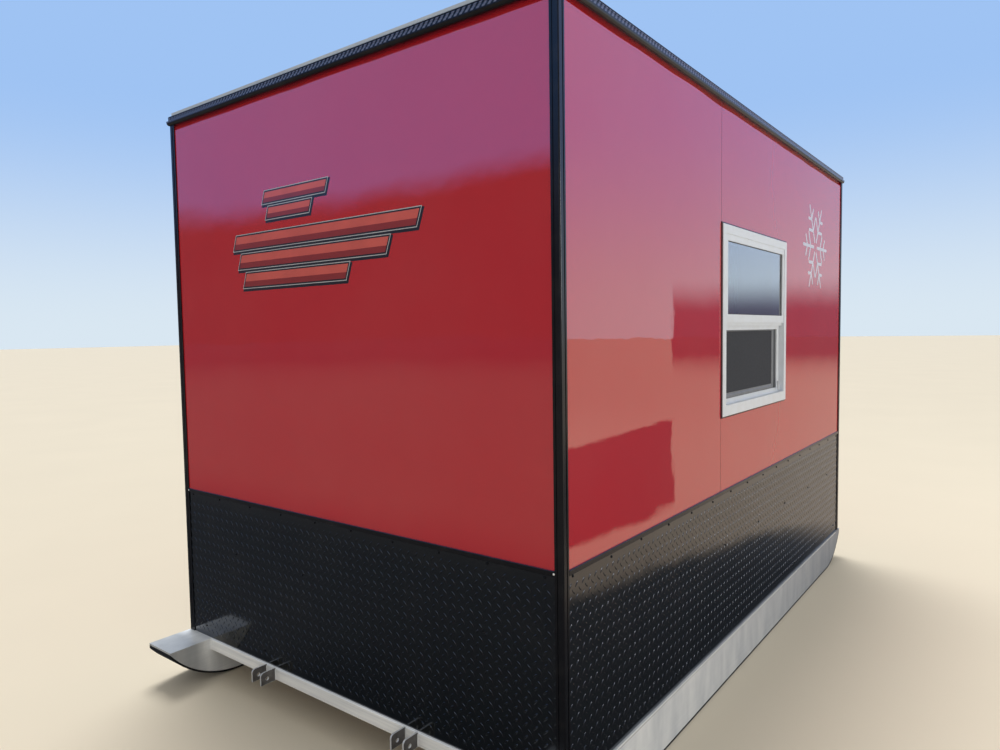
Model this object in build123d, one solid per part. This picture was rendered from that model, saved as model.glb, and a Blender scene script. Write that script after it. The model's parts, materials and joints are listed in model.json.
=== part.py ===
from build123d import *
import os
from math import cos, pi, sin, sqrt

os.makedirs("parts", exist_ok=True)

# Ice fishing hut on two ski runners. +Z is up and z = 0 is the ice. The end wall
# with the hitch lugs faces -Y and the wall named right faces +X. The origin is on
# the ice, under the middle of the hut from ski tip to ski tail.

# Overall sizes of the cabin, over its outer skins
hut_width = 1981.0
hut_length = 3330.0
wall_height = 2231.0
runner_height = 180.0

# Wall, floor and roof build-up
skin_thickness = 3.0
wall_core_thickness = 45.0
deck_thickness = 45.0
roof_panel_thickness = 36.0
roof_sheet_thickness = 12.0
tread_plate_height = 638.0

# Runners: box skis with a plastic sole
runner_width = 175.0
frame_ledge = 8.0
tip_reach = 190.0
tail_reach = 24.0
sole_thickness = 8.0
sole_radius = 415.0
nose_height = 8.0

# Cross tubes between the runners
tube_size = 50.8
tube_wall = 3.2
tube_corner_radius = 5.0
bearer_count = 8

# Hitch lugs: two ears each, welded to the front tube
lug_centre_offset = 390.0
ear_thickness = 6.35
ear_gap = 50.8
ear_reach = 66.0
ear_height = 50.0
ear_corner_radius = 14.0
pin_hole_diameter = 13.5
pin_from_ear_front = 28.0
pin_below_ear_top = 29.0

# Round ice hole covers in the floor
ice_hole_diameter = 254.0
hole_sleeve_wall = 4.0
hole_flange_width = 18.0
hole_flange_thickness = 4.0
hole_lid_thickness = 12.0
ice_hole_offset = 560.0
ice_hole_bays = (2, 6)

# Window: a frame through the wall with a fixed upper pane and a lower sash
window_width = 890.0
window_height = 790.0
window_sill_height = 954.0
window_from_front = 1661.0
casing_proud = 8.0
casing_overlap = 26.0
casing_step = 3.0
casing_face_side = 36.0
casing_face_top = 37.0
casing_face_bottom = 45.0
casing_edge_radius = 2.0
head_height = 64.0
jamb_width = 61.0
rail_height = 66.0
rail_nose_height = 13.0
rail_nose_recess = 12.0
track_recess = 25.0
track_jamb_width = 76.0
track_head_height = 18.0
sill_depth = 66.0
lower_light_height = 291.0
pane_thickness = 6.0
pane_recess = 10.0
pane_bite = 6.0
screen_recess = 28.0
screen_thickness = 8.0
screen_bar = 23.0
screen_mesh_thickness = 1.6
sash_recess = 37.0
sash_thickness = 18.0
sash_bar = 42.0

# Entry door in the rear wall
door_opening_width = 690.0
door_opening_height = 1900.0
door_frame_bar = 26.0
door_flange_width = 24.0
door_flange_thickness = 4.0
door_gap = 4.0
door_thickness = 38.0
door_proud = 6.0
kick_plate_thickness = 2.5
kick_plate_margin = 4.0
hinge_knuckle_radius = 6.0
hinge_length = 90.0
hinge_leaf_thickness = 2.5
hinge_leaf_width = 22.0
hinge_count = 3
hinge_end_margin = 260.0
latch_height = 1010.0
latch_plate_width = 62.0
latch_plate_height = 128.0
latch_plate_thickness = 4.0
latch_edge_margin = 48.0
paddle_width = 40.0
paddle_height = 78.0
paddle_thickness = 9.0

# Trims over the joints of the skins
corner_leg = 26.5
corner_web = 2.2
corner_bead_width = 8.5
corner_bead_height = 4.2
corner_bead_chamfer = 1.0
corner_groove_width = 4.5
corner_nose_height = 5.0
corner_nose_width = 12.0
corner_nose_radius = 4.0
belt_height = 16.0
belt_proud = 4.5
belt_crown_radius = 1.8
eave_overlap = 4.5
eave_lip_proud = 14.0
eave_face_proud = 8.5
eave_web = 4.0
eave_lip_height = 20.0
eave_lip_chamfer = 1.2
eave_nose_height = 15.0
eave_nose_steps = 5
eave_groove_height = 2.5
eave_groove_depth = 3.0
eave_rib_count = 2
eave_rib_groove = 1.2
eave_flange_width = 25.0
eave_flange_thickness = 2.0
eave_top_radius = 3.0
roof_sheet_end_setback = 5.0
roof_sheet_side_setback = 20.0

# An edge is picked when it lies this close to a place
pick_distance = 0.5

# Places worked out from those sizes
wall_thickness = skin_thickness + wall_core_thickness
wall_bottom = runner_height
wall_top = wall_bottom + wall_height
roof_top = wall_top + roof_panel_thickness
floor_level = wall_bottom + deck_thickness
half_width = hut_width / 2
half_length = hut_length / 2
overall_length = tip_reach + hut_length + tail_reach
centre_y = -overall_length / 2 + tip_reach + half_length
front_y = centre_y - half_length
rear_y = centre_y + half_length
runner_outer_x = half_width + frame_ledge
runner_inner_x = runner_outer_x - runner_width
tube_front_y = front_y - frame_ledge
tube_centre_y = tube_front_y + tube_size / 2
tube_centre_z = wall_bottom - tube_size / 2
rear_tube_centre_y = rear_y + frame_ledge - tube_size / 2
bearer_pitch = (rear_tube_centre_y - tube_centre_y) / (bearer_count + 1)
belt_bottom = wall_bottom + tread_plate_height - belt_height / 2
eave_bottom = wall_top - eave_overlap
eave_height = eave_overlap + roof_panel_thickness
window_bottom = wall_bottom + window_sill_height
window_top = window_bottom + window_height
lower_light_bottom = window_bottom + sill_depth
rail_bottom = lower_light_bottom + lower_light_height
upper_light_bottom = rail_bottom + rail_height
upper_light_top = window_top - head_height
upper_light_half = window_width / 2 - jamb_width
lower_light_half = window_width / 2 - track_jamb_width
track_top = rail_bottom + track_head_height
window_hole_half = window_width / 2 - casing_overlap
window_hole_bottom = window_bottom + casing_overlap
window_hole_top = window_top - casing_overlap
door_half = door_opening_width / 2
door_top = floor_level + door_opening_height
leaf_half = door_half - door_frame_bar - door_gap
leaf_bottom = floor_level + door_gap
leaf_top = door_top - door_frame_bar - door_gap


def block(x0, x1, y0, y1, z0, z1):
    """A rectangular piece between two corners."""
    return Pos((x0 + x1) / 2, (y0 + y1) / 2, (z0 + z1) / 2) * Box(x1 - x0, y1 - y0, z1 - z0)


def board(along0, along1, out0, out1, z0, z1):
    """A rectangular piece on a wall that faces -Y with its outer skin at y = 0."""
    return block(along0, along1, -out1, -out0, z0, z1)


def bar_along_x(outline, x0, x1):
    """A bar from x0 to x1 with the closed outline drawn in (y, z)."""
    return Pos(x0, 0, 0) * extrude(Plane.YZ * make_face(outline), amount=x1 - x0)


# Each wall is drawn facing -Y and then turned: angle, distance of its skin from
# the middle of the hut, and half of its length
walls = {
    "front": (0, half_length, half_width),
    "right": (90, half_width, half_length),
    "rear": (180, half_length, half_width),
    "left": (270, half_width, half_length),
}


def on_wall(name, piece):
    """Turns a piece drawn on a -Y wall to its own wall."""
    angle, distance, _ = walls[name]
    return Pos(0, centre_y, 0) * Rot(0, 0, angle) * Pos(0, -distance, 0) * piece


def window_along(name):
    """Place of the window's middle along a side wall drawn facing -Y."""
    from_middle = window_from_front - half_length
    return from_middle if name == "right" else -from_middle


# Runners
def ski_outline(radius, bottom):
    """Side view of a ski: flat on the ice, both ends curved up to the level top."""
    reach = sqrt((sole_radius - sole_thickness) ** 2
                 - (sole_radius - wall_bottom + nose_height) ** 2)
    tip_y = front_y - tip_reach
    tail_y = rear_y + tail_reach
    end_z = sole_radius - sqrt(radius ** 2 - reach ** 2)
    tip_middle = reach / 2
    middle_z = sole_radius - sqrt(radius ** 2 - tip_middle ** 2)
    tip_arc = ThreePointArc((tip_y, end_z), (tip_y + reach - tip_middle, middle_z),
                            (tip_y + reach, bottom))
    flat = Line((tip_y + reach, bottom), (tail_y - reach, bottom))
    tail_arc = ThreePointArc((tail_y - reach, bottom), (tail_y - reach + tip_middle, middle_z),
                             (tail_y, end_z))
    top = Polyline((tail_y, end_z), (tail_y, wall_bottom), (tip_y, wall_bottom), (tip_y, end_z))
    return tip_arc + flat + tail_arc + top


def runner(side):
    """Box ski under one side wall, without its sole."""
    inner, outer = sorted((side * runner_inner_x, side * runner_outer_x))
    return bar_along_x(ski_outline(sole_radius - sole_thickness, sole_thickness), inner, outer)


def runner_sole(side):
    """Plastic wear sole bent round the ski's underside."""
    inner, outer = sorted((side * runner_inner_x, side * runner_outer_x))
    whole = bar_along_x(ski_outline(sole_radius, 0), inner, outer)
    return whole - runner(side)


# Cross tubes and hitch lugs
def cross_tube(middle_y):
    """Square tube between the runners, with its top level with theirs."""
    section = RectangleRounded(tube_size, tube_size, tube_corner_radius)
    inner_size = tube_size - 2 * tube_wall
    bore = RectangleRounded(inner_size, inner_size, tube_corner_radius - tube_wall)
    face = Plane.YZ * (Pos(middle_y, tube_centre_z) * (section - bore))
    return Pos(-runner_inner_x, 0, 0) * extrude(face, amount=2 * runner_inner_x)


def hitch_ear(middle_x):
    """One drilled ear with a rounded upper front corner."""
    front = tube_front_y - ear_reach
    plate = block(middle_x - ear_thickness / 2, middle_x + ear_thickness / 2,
                  front, tube_front_y, wall_bottom - ear_height, wall_bottom)
    corner = [e for e in plate.edges().filter_by(Axis.X)
              if e.center().Y < front + pick_distance
              and e.center().Z > wall_bottom - pick_distance]
    plate = fillet(corner, ear_corner_radius)
    hole = Rot(0, 90, 0) * Cylinder(pin_hole_diameter / 2, 4 * ear_thickness)
    return plate - Pos(middle_x, front + pin_from_ear_front, wall_bottom - pin_below_ear_top) * hole


def hitch_lug(side):
    """Pair of ears that takes a pin from a drawbar."""
    step = (ear_gap + ear_thickness) / 2
    return [hitch_ear(side * lug_centre_offset + s * step) for s in (-1, 1)]


# Floor
def ice_hole_places():
    """Centres of the ice holes, midway between two cross tubes."""
    return [(side * ice_hole_offset, tube_centre_y + (bay + 0.5) * bearer_pitch)
            for side in (-1, 1) for bay in ice_hole_bays]


def floor_deck():
    """Deck inside the walls with a round hole for each ice hole cover."""
    deck = block(-half_width + wall_thickness, half_width - wall_thickness,
                 front_y + wall_thickness, rear_y - wall_thickness, wall_bottom, floor_level)
    for x, y in ice_hole_places():
        deck -= Pos(x, y, wall_bottom + deck_thickness / 2) * Cylinder(
            ice_hole_diameter / 2 + hole_sleeve_wall, 2 * deck_thickness)
    return deck


def ice_hole_cover(x, y):
    """Sleeve through the deck with a flange on the floor and a closed lid."""
    bore = ice_hole_diameter / 2
    sleeve = bore + hole_sleeve_wall
    rim = sleeve + hole_flange_width
    lid_bottom = floor_level - hole_lid_thickness
    section = Polyline((0, lid_bottom), (bore, lid_bottom), (bore, wall_bottom),
                       (sleeve, wall_bottom), (sleeve, floor_level), (rim, floor_level),
                       (rim, floor_level + hole_flange_thickness),
                       (0, floor_level + hole_flange_thickness), close=True)
    return Pos(x, y, 0) * revolve(Plane.XZ * make_face(section), Axis.Z)


# Walls
def window_hole(name, out0, out1):
    """Opening through a side wall for the window's frame."""
    middle = window_along(name)
    return board(middle - window_hole_half, middle + window_hole_half, out0, out1,
                 window_hole_bottom, window_hole_top)


def side_wall(name):
    """Side wall core between the end walls, with its window opening."""
    reach = half_length - wall_thickness
    core = board(-reach, reach, -wall_thickness, -skin_thickness, wall_bottom, wall_top)
    return on_wall(name, core - window_hole(name, -2 * wall_thickness, wall_thickness))


def end_core(along0, along1, z0, z1):
    """Piece of an end wall's core."""
    return board(along0, along1, -wall_thickness, -skin_thickness, z0, z1)


def skin_half(name):
    """Half length of a wall's skin: the end skins cover the edges of the side skins."""
    half = walls[name][2]
    return half if name in ("front", "rear") else half - skin_thickness


def skin(name, z0, z1):
    """Sheet on the outside of a wall, cut for its window or door."""
    half = skin_half(name)
    sheet = board(-half, half, -skin_thickness, 0, z0, z1)
    if name in ("left", "right"):
        sheet -= window_hole(name, -wall_thickness, wall_thickness)
    if name == "rear":
        sheet -= board(-door_half, door_half, -wall_thickness, wall_thickness, 0, door_top)
    return on_wall(name, sheet)


# Roof
def roof_panel():
    """Flat roof over the walls, rebated all round for the edge trim's flange."""
    panel = block(-half_width, half_width, front_y, rear_y, wall_top, roof_top)
    rebate = block(-half_width, half_width, front_y, rear_y,
                   roof_top - eave_flange_thickness, roof_top)
    inset = eave_flange_width
    rebate -= block(-half_width + inset, half_width - inset, front_y + inset, rear_y - inset,
                    wall_top, roof_top)
    return panel - rebate


def roof_sheet():
    """Roof sheet laid over the panel and the edge trims."""
    side = half_width + eave_face_proud - roof_sheet_side_setback
    end = eave_face_proud - roof_sheet_end_setback
    return block(-side, side, front_y - end, rear_y + end,
                 roof_top, roof_top + roof_sheet_thickness)


# Trims
def eave_trim(name):
    """Roof edge trim: flange on the roof, ribbed face, groove and round lip, mitred ends."""
    half = walls[name][2]
    z0 = eave_bottom
    lip_top = z0 + eave_lip_height
    groove_top = lip_top + eave_groove_height
    lip = eave_lip_proud
    face = eave_face_proud
    outline = [(0, z0), (eave_web, z0)]
    for i in range(1, eave_nose_steps + 1):
        turn = i * pi / 2 / eave_nose_steps
        outline.append((eave_web + (lip - eave_web) * sin(turn),
                        z0 + eave_nose_height * (1 - cos(turn))))
    outline += [(lip, lip_top - eave_lip_chamfer), (lip - eave_lip_chamfer, lip_top),
                (face - eave_groove_depth, lip_top), (face - eave_groove_depth, groove_top),
                (face, groove_top)]
    rib_pitch = (roof_top - groove_top) / (eave_rib_count + 1)
    for i in range(eave_rib_count):
        z = groove_top + (i + 1) * rib_pitch
        outline += [(face, z - eave_rib_groove), (face - eave_rib_groove, z),
                    (face, z + eave_rib_groove)]
    outline += [(face, roof_top - eave_top_radius), (face - eave_top_radius, roof_top),
                (-eave_flange_width, roof_top),
                (-eave_flange_width, roof_top - eave_flange_thickness),
                (0, roof_top - eave_flange_thickness)]
    section = Polyline(*[(-out, z) for out, z in outline], close=True)
    bar = bar_along_x(section, -half - lip, half + lip)
    mitre = Polyline((-half - lip, -lip), (half + lip, -lip),
                     (half - eave_flange_width, eave_flange_width),
                     (-half + eave_flange_width, eave_flange_width), close=True)
    prism = Pos(0, 0, eave_bottom) * extrude(make_face(mitre), amount=eave_height)
    return on_wall(name, bar & prism)


def belt_trim(name):
    """Trim along the joint of the red skin and the tread plate, between two corner trims."""
    half = walls[name][2] - corner_leg
    bar = board(-half, half, 0, belt_proud, belt_bottom, belt_bottom + belt_height)
    crown = [e for e in bar.edges().filter_by(Axis.X) if e.center().Y < -belt_proud / 2]
    bar = fillet(crown, belt_crown_radius)
    if name == "rear":
        stop = door_half + door_flange_width
        bar -= board(-stop, stop, -belt_proud, 2 * belt_proud, belt_bottom - belt_height,
                     belt_bottom + 2 * belt_height)
    return on_wall(name, bar)


def corner_trim(side_x, side_y):
    """Ribbed angle over one upright corner: nose, groove and edge bead on both legs."""
    bead_start = corner_leg - corner_bead_width
    groove_start = bead_start - corner_groove_width
    nose = corner_nose_height
    leg = [(corner_leg, 0), (corner_leg, corner_bead_height - corner_bead_chamfer),
           (corner_leg - corner_bead_chamfer, corner_bead_height),
           (bead_start, corner_bead_height),
           (bead_start, corner_web), (groove_start, corner_web),
           (corner_nose_width, nose)]
    # The legs run along -X and +Y from the corner of a hut at the origin
    front_leg = [(-a, -out) for a, out in leg]
    side_leg = [(out, a) for a, out in reversed(leg)]
    section = make_face(Polyline((0, 0), *front_leg, (nose, -nose), *side_leg, close=True))
    piece = Pos(0, 0, wall_bottom) * extrude(section, amount=eave_bottom - wall_bottom)
    edge = [e for e in piece.edges().filter_by(Axis.Z)
            if abs(e.center().X - nose) < pick_distance
            and abs(e.center().Y + nose) < pick_distance]
    piece = fillet(edge, corner_nose_radius)
    if side_x < 0:
        piece = mirror(piece, Plane.YZ)
    if side_y > 0:
        piece = mirror(piece, Plane.XZ)
    return Pos(side_x * half_width, centre_y + side_y * half_length, 0) * piece


# Windows
def window_frame(name):
    """White casing and frame through the wall, with the meeting rail and both lights."""
    w = window_width / 2
    casing = board(-w, w, 0, casing_proud, window_bottom, window_top)
    rim = [e for e in casing.edges() if e.center().Y < -casing_proud + pick_distance]
    casing = fillet(rim, casing_edge_radius)
    body = board(-window_hole_half, window_hole_half, -wall_thickness, 0,
                 window_hole_bottom, window_hole_top)
    frame = casing + body
    # Three steps inside the face: the beads of the upper light, the nose of the
    # meeting rail, and the track of the lower sash and the screen
    face_bottom = window_bottom + casing_face_bottom
    steps = ((casing_step, window_top - casing_face_top),
             (rail_nose_recess, track_top + rail_nose_height),
             (track_recess, track_top))
    for recess, step_top in steps:
        frame -= board(-w + casing_face_side, w - casing_face_side, casing_proud - recess,
                       2 * casing_proud, face_bottom, step_top)
    upper, lower = upper_light_half, lower_light_half
    deep = 2 * wall_thickness
    frame -= board(-upper, upper, -deep, deep, upper_light_bottom, upper_light_top)
    frame -= board(-lower, lower, -deep, deep, lower_light_bottom, rail_bottom)
    frame -= pane_solid()
    return on_wall(name, Pos(window_along(name), 0, 0) * frame)


def pane_solid():
    """Upper pane, held all round in a rebate of the frame."""
    front = casing_proud - pane_recess
    half = upper_light_half + pane_bite
    return board(-half, half, front - pane_thickness, front,
                 upper_light_bottom - pane_bite, upper_light_top + pane_bite)


def lower_sash():
    """Ring of the lower sash with the rebate for its pane."""
    front = casing_proud - sash_recess
    back = front - sash_thickness
    half = lower_light_half
    inner = half - sash_bar
    ring = board(-half, half, back, front, lower_light_bottom, rail_bottom)
    ring -= board(-inner, inner, 2 * back, 2 * casing_proud, lower_light_bottom + sash_bar,
                  rail_bottom - sash_bar)
    return ring - lower_pane()


def lower_pane():
    """Pane in the middle of the lower sash."""
    middle = casing_proud - sash_recess - sash_thickness / 2
    half = lower_light_half - sash_bar + pane_bite
    return board(-half, half, middle - pane_thickness / 2, middle + pane_thickness / 2,
                 lower_light_bottom + sash_bar - pane_bite, rail_bottom - sash_bar + pane_bite)


def insect_screen():
    """Screen in front of the lower sash: a bar frame with thin mesh across its middle."""
    front = casing_proud - screen_recess
    back = front - screen_thickness
    half = lower_light_half
    inner = half - screen_bar
    ring = board(-half, half, back, front, lower_light_bottom, rail_bottom)
    ring -= board(-inner, inner, -wall_thickness, 2 * casing_proud,
                  lower_light_bottom + screen_bar, rail_bottom - screen_bar)
    middle = (front + back) / 2
    mesh = board(-inner, inner, middle - screen_mesh_thickness / 2,
                 middle + screen_mesh_thickness / 2,
                 lower_light_bottom + screen_bar, rail_bottom - screen_bar)
    return ring + mesh


# Entry door
def door_frame():
    """Frame through the rear wall with a flange on its skin and a threshold."""
    flange_half = door_half + door_flange_width
    flange_top = door_top + door_flange_width
    frame = board(-door_half, door_half, -wall_thickness, 0, wall_bottom, door_top)
    frame += board(-flange_half, flange_half, 0, door_flange_thickness, wall_bottom, flange_top)
    inner = door_half - door_frame_bar
    frame -= board(-inner, inner, -2 * wall_thickness, wall_thickness, floor_level,
                   door_top - door_frame_bar)
    return on_wall("rear", frame)


def entry_door():
    """Closed door leaf."""
    leaf = board(-leaf_half, leaf_half, door_proud - door_thickness, door_proud,
                 leaf_bottom, leaf_top)
    return on_wall("rear", leaf)


def door_kick_plate():
    """Tread plate on the lower part of the door, level with the one on the walls."""
    half = leaf_half - hinge_leaf_width - kick_plate_margin
    plate = board(-half, half, door_proud, door_proud + kick_plate_thickness,
                  leaf_bottom + kick_plate_margin, wall_bottom + tread_plate_height)
    return on_wall("rear", plate)


def door_hinges():
    """Butt hinges: a knuckle over the gap with a leaf on the frame and one on the door."""
    knuckle_x = leaf_half + door_gap / 2
    seat = max(door_proud, door_flange_thickness)
    first = leaf_bottom + hinge_end_margin
    pitch = (leaf_top - leaf_bottom - 2 * hinge_end_margin) / (hinge_count - 1)
    hinges = []
    for i in range(hinge_count):
        z = first + i * pitch
        low, high = z - hinge_length / 2, z + hinge_length / 2
        knuckle = Pos(knuckle_x, -seat - hinge_knuckle_radius, z) * Cylinder(
            hinge_knuckle_radius, hinge_length)
        door_leaf = board(knuckle_x - hinge_leaf_width, knuckle_x, door_proud,
                          door_proud + hinge_leaf_thickness, low, high)
        frame_leaf = board(knuckle_x + door_gap, knuckle_x + hinge_leaf_width,
                           door_flange_thickness, door_flange_thickness + hinge_leaf_thickness,
                           low, high)
        arm = board(knuckle_x, knuckle_x + door_gap + hinge_leaf_thickness, door_proud,
                    door_proud + hinge_leaf_thickness, low, high)
        hinges.append(on_wall("rear", knuckle + door_leaf + frame_leaf + arm))
    return hinges


def door_latch():
    """Flush paddle latch on the free edge of the door."""
    x = -leaf_half + latch_edge_margin + latch_plate_width / 2
    z = floor_level + latch_height
    plate = board(x - latch_plate_width / 2, x + latch_plate_width / 2, door_proud,
                  door_proud + latch_plate_thickness, z - latch_plate_height / 2,
                  z + latch_plate_height / 2)
    plate = fillet(plate.edges().filter_by(Axis.Y), latch_plate_width / 6)
    face = door_proud + latch_plate_thickness
    paddle = board(x - paddle_width / 2, x + paddle_width / 2, face, face + paddle_thickness,
                   z - paddle_height / 2, z + paddle_height / 2)
    rim = [e for e in paddle.edges() if e.center().Y < pick_distance - face - paddle_thickness]
    paddle = fillet(rim, paddle_thickness / 3)
    return on_wall("rear", plate + paddle)


def save(name, *pieces):
    """Writes one sub-part, of one or more separate solids."""
    shape = pieces[0] if len(pieces) == 1 else Compound(children=list(pieces))
    export_step(shape, f"parts/{name}.step")


# Sub-parts
for side_name, side in (("left", -1), ("right", 1)):
    save(f"{side_name}_runner", runner(side))
    save(f"{side_name}_runner_sole", runner_sole(side))
    save(f"{side_name}_hitch_lug", *hitch_lug(side))
    save(f"{side_name}_wall", side_wall(side_name))
    at = Pos(window_along(side_name), 0, 0)
    save(f"{side_name}_window_frame", window_frame(side_name))
    save(f"{side_name}_window_glass", on_wall(side_name, at * pane_solid()),
         on_wall(side_name, at * lower_pane()))
    save(f"{side_name}_window_sash", on_wall(side_name, at * lower_sash()))
    save(f"{side_name}_insect_screen", on_wall(side_name, at * insect_screen()))

save("front_cross_tube", cross_tube(tube_centre_y))
save("floor_bearers", *[cross_tube(tube_centre_y + (i + 1) * bearer_pitch)
                        for i in range(bearer_count + 1)])
save("floor_deck", floor_deck())
save("ice_hole_covers", *[ice_hole_cover(x, y) for x, y in ice_hole_places()])

core_half = half_width - skin_thickness
save("front_wall", on_wall("front", end_core(-core_half, core_half, wall_bottom, wall_top)))
save("rear_wall_left", on_wall("rear", end_core(door_half, core_half, wall_bottom, wall_top)))
save("rear_wall_right", on_wall("rear", end_core(-core_half, -door_half, wall_bottom, wall_top)))
save("rear_wall_over_door", on_wall("rear", end_core(-door_half, door_half, door_top, wall_top)))

for wall_name in walls:
    joint_z = wall_bottom + tread_plate_height
    lower_skin = skin(wall_name, wall_bottom, joint_z)
    save(f"{wall_name}_upper_skin", skin(wall_name, joint_z, wall_top))
    save(f"{wall_name}_tread_plate", *lower_skin.solids())
    save(f"{wall_name}_roof_edge_trim", eave_trim(wall_name))

save("belt_trims", *[solid for wall_name in walls for solid in belt_trim(wall_name).solids()])
for y_name, side_y in (("front", -1), ("rear", 1)):
    for x_name, side_x in (("left", -1), ("right", 1)):
        save(f"{y_name}_{x_name}_corner_trim", corner_trim(side_x, side_y))

save("roof_panel", roof_panel())
save("roof_sheet", roof_sheet())
save("door_frame", door_frame())
save("entry_door", entry_door())
save("door_kick_plate", door_kick_plate())
save("door_hinges", *door_hinges())
save("door_latch", door_latch())
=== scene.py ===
import json
from math import asin, ceil, cos, floor, pi, radians, sin

import bmesh
import bpy
from bpy.props import FloatProperty, FloatVectorProperty, IntProperty, PointerProperty
from mathutils import Matrix, Vector


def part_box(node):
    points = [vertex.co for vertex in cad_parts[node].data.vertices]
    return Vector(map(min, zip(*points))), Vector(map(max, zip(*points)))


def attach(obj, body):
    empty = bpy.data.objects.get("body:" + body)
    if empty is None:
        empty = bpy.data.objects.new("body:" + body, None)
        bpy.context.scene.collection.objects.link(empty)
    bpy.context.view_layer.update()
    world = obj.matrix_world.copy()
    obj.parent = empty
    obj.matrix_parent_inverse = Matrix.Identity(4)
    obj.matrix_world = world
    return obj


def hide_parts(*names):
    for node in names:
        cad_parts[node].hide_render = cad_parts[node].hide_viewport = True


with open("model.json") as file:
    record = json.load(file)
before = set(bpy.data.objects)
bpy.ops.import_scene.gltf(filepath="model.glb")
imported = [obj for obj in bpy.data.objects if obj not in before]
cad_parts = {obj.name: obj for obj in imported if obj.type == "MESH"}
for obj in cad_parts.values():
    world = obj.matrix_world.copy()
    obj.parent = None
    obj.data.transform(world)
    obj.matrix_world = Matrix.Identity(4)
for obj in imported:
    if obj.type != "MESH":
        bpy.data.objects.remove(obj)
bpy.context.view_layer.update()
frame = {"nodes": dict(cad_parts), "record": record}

bl_info = {
    "name": "Ice Fishing Hut Finish",
    "version": (1, 0, 0),
    "blender": (4, 5, 0),
    "location": "3D View > Sidebar > Ice Hut",
    "description": "Dresses a red ice fishing hut on ski runners: sheet skins, tread plate, "
                   "trims, window and stage",
    "category": "Object",
}

BODY = "root"
MM = 0.001
SIDE_WALLS = ("right", "left")

# Directions of each wall: along it, seen from outside from left to right, and out of it
WALL_DIRECTIONS = {
    "front": ((1, 0, 0), (0, -1, 0)),
    "right": ((0, 1, 0), (1, 0, 0)),
    "rear": ((-1, 0, 0), (0, 1, 0)),
    "left": ((0, -1, 0), (-1, 0, 0)),
}
EAR_THICKNESS = 6.35 * MM    # of a hitch ear


def hex_colour(text):
    """Linear colour with alpha of an sRGB colour such as #A0141E."""
    channels = [int(text[i:i + 2], 16) / 255 for i in (1, 3, 5)]
    return tuple(c / 12.92 if c <= 0.04045 else ((c + 0.055) / 1.055) ** 2.4
                 for c in channels) + (1.0,)


def darkened(colour, share):
    """A linear colour with its light cut to this share."""
    return [channel * share for channel in colour[:3]] + [1.0]


# Settings that a user would change
def colour_setting(name, description, text):
    """A colour that the sidebar shows."""
    return FloatVectorProperty(name=name, description=description, size=4, subtype="COLOR",
                               min=0.0, max=1.0, default=hex_colour(text))


def length_setting(name, description, millimetres):
    """A length that the sidebar shows, kept in metres."""
    return FloatProperty(name=name, description=description, unit="LENGTH", min=0.0,
                         precision=5, default=millimetres * MM)


class HutColours(bpy.types.PropertyGroup):
    """Colours of the hut's finishes."""
    red: colour_setting("Red enamel", "Coil coated sheet of the upper walls", "#B4161F")
    black_plate: colour_setting("Plate enamel", "Enamel on the tread plate", "#04090B")
    black_trim: colour_setting("Trim enamel", "Enamel on the extruded trims", "#0A0B0E")
    vinyl: colour_setting("Window vinyl", "Extruded frame of the windows", "#D8DEE6")
    mill: colour_setting("Mill aluminium", "Bare runners, tubes and lugs", "#FAFBF9")
    print_fill: colour_setting("Stripe fill", "Coral film of the front stripes", "#D05C52")
    print_low: colour_setting("Stripe foot", "Darker film along each stripe's foot", "#8F2C2C")
    print_shade: colour_setting("Stripe shade", "Dark film behind the stripes", "#1D2026")
    print_line: colour_setting("Stripe edge", "Pale film round the stripes", "#B4B6BC")
    snowflake: colour_setting("Snowflake", "Pale film of the snowflakes", "#D3CFD9")


class TreadSettings(bpy.types.PropertyGroup):
    """Raised pattern of the tread plate."""
    pitch_along: length_setting("Pitch along", "From one lozenge to the next along", 36.0)
    pitch_up: length_setting("Pitch up", "From one row to the next of like lozenges", 39.0)
    lozenge_length: length_setting("Length", "Length of one lozenge", 25.0)
    lozenge_width: length_setting("Width", "Width of one lozenge", 6.4)
    lozenge_height: length_setting("Height", "Height over the plate", 1.1)
    lozenge_angle: FloatProperty(name="Slope", description="Slope of a lozenge", unit="ROTATION",
                                 default=radians(47))


class ScrewSettings(bpy.types.PropertyGroup):
    """Black screws that hold the tread plate."""
    head_diameter: length_setting("Head", "Diameter of the washer head", 9.5)
    head_height: length_setting("Head height", "Height of the washer head", 3.0)
    scatter: length_setting("Scatter", "How far a screw strays from its even place", 11.0)
    seed: IntProperty(name="Seed", description="Seed of the scatter", min=0, default=7)


class WindowSettings(bpy.types.PropertyGroup):
    """Small parts of the windows."""
    screen_bar: length_setting("Screen bar", "Width of the insect screen's bars", 23.0)
    clip_height: length_setting("Clip", "Height of the clip beside the screen", 44.0)
    gasket: length_setting("Gasket", "Width of the rubber round the upper pane", 2.4)
    sealant: length_setting("Sealant", "Width of the bead between casing and skin", 7.0)


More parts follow.
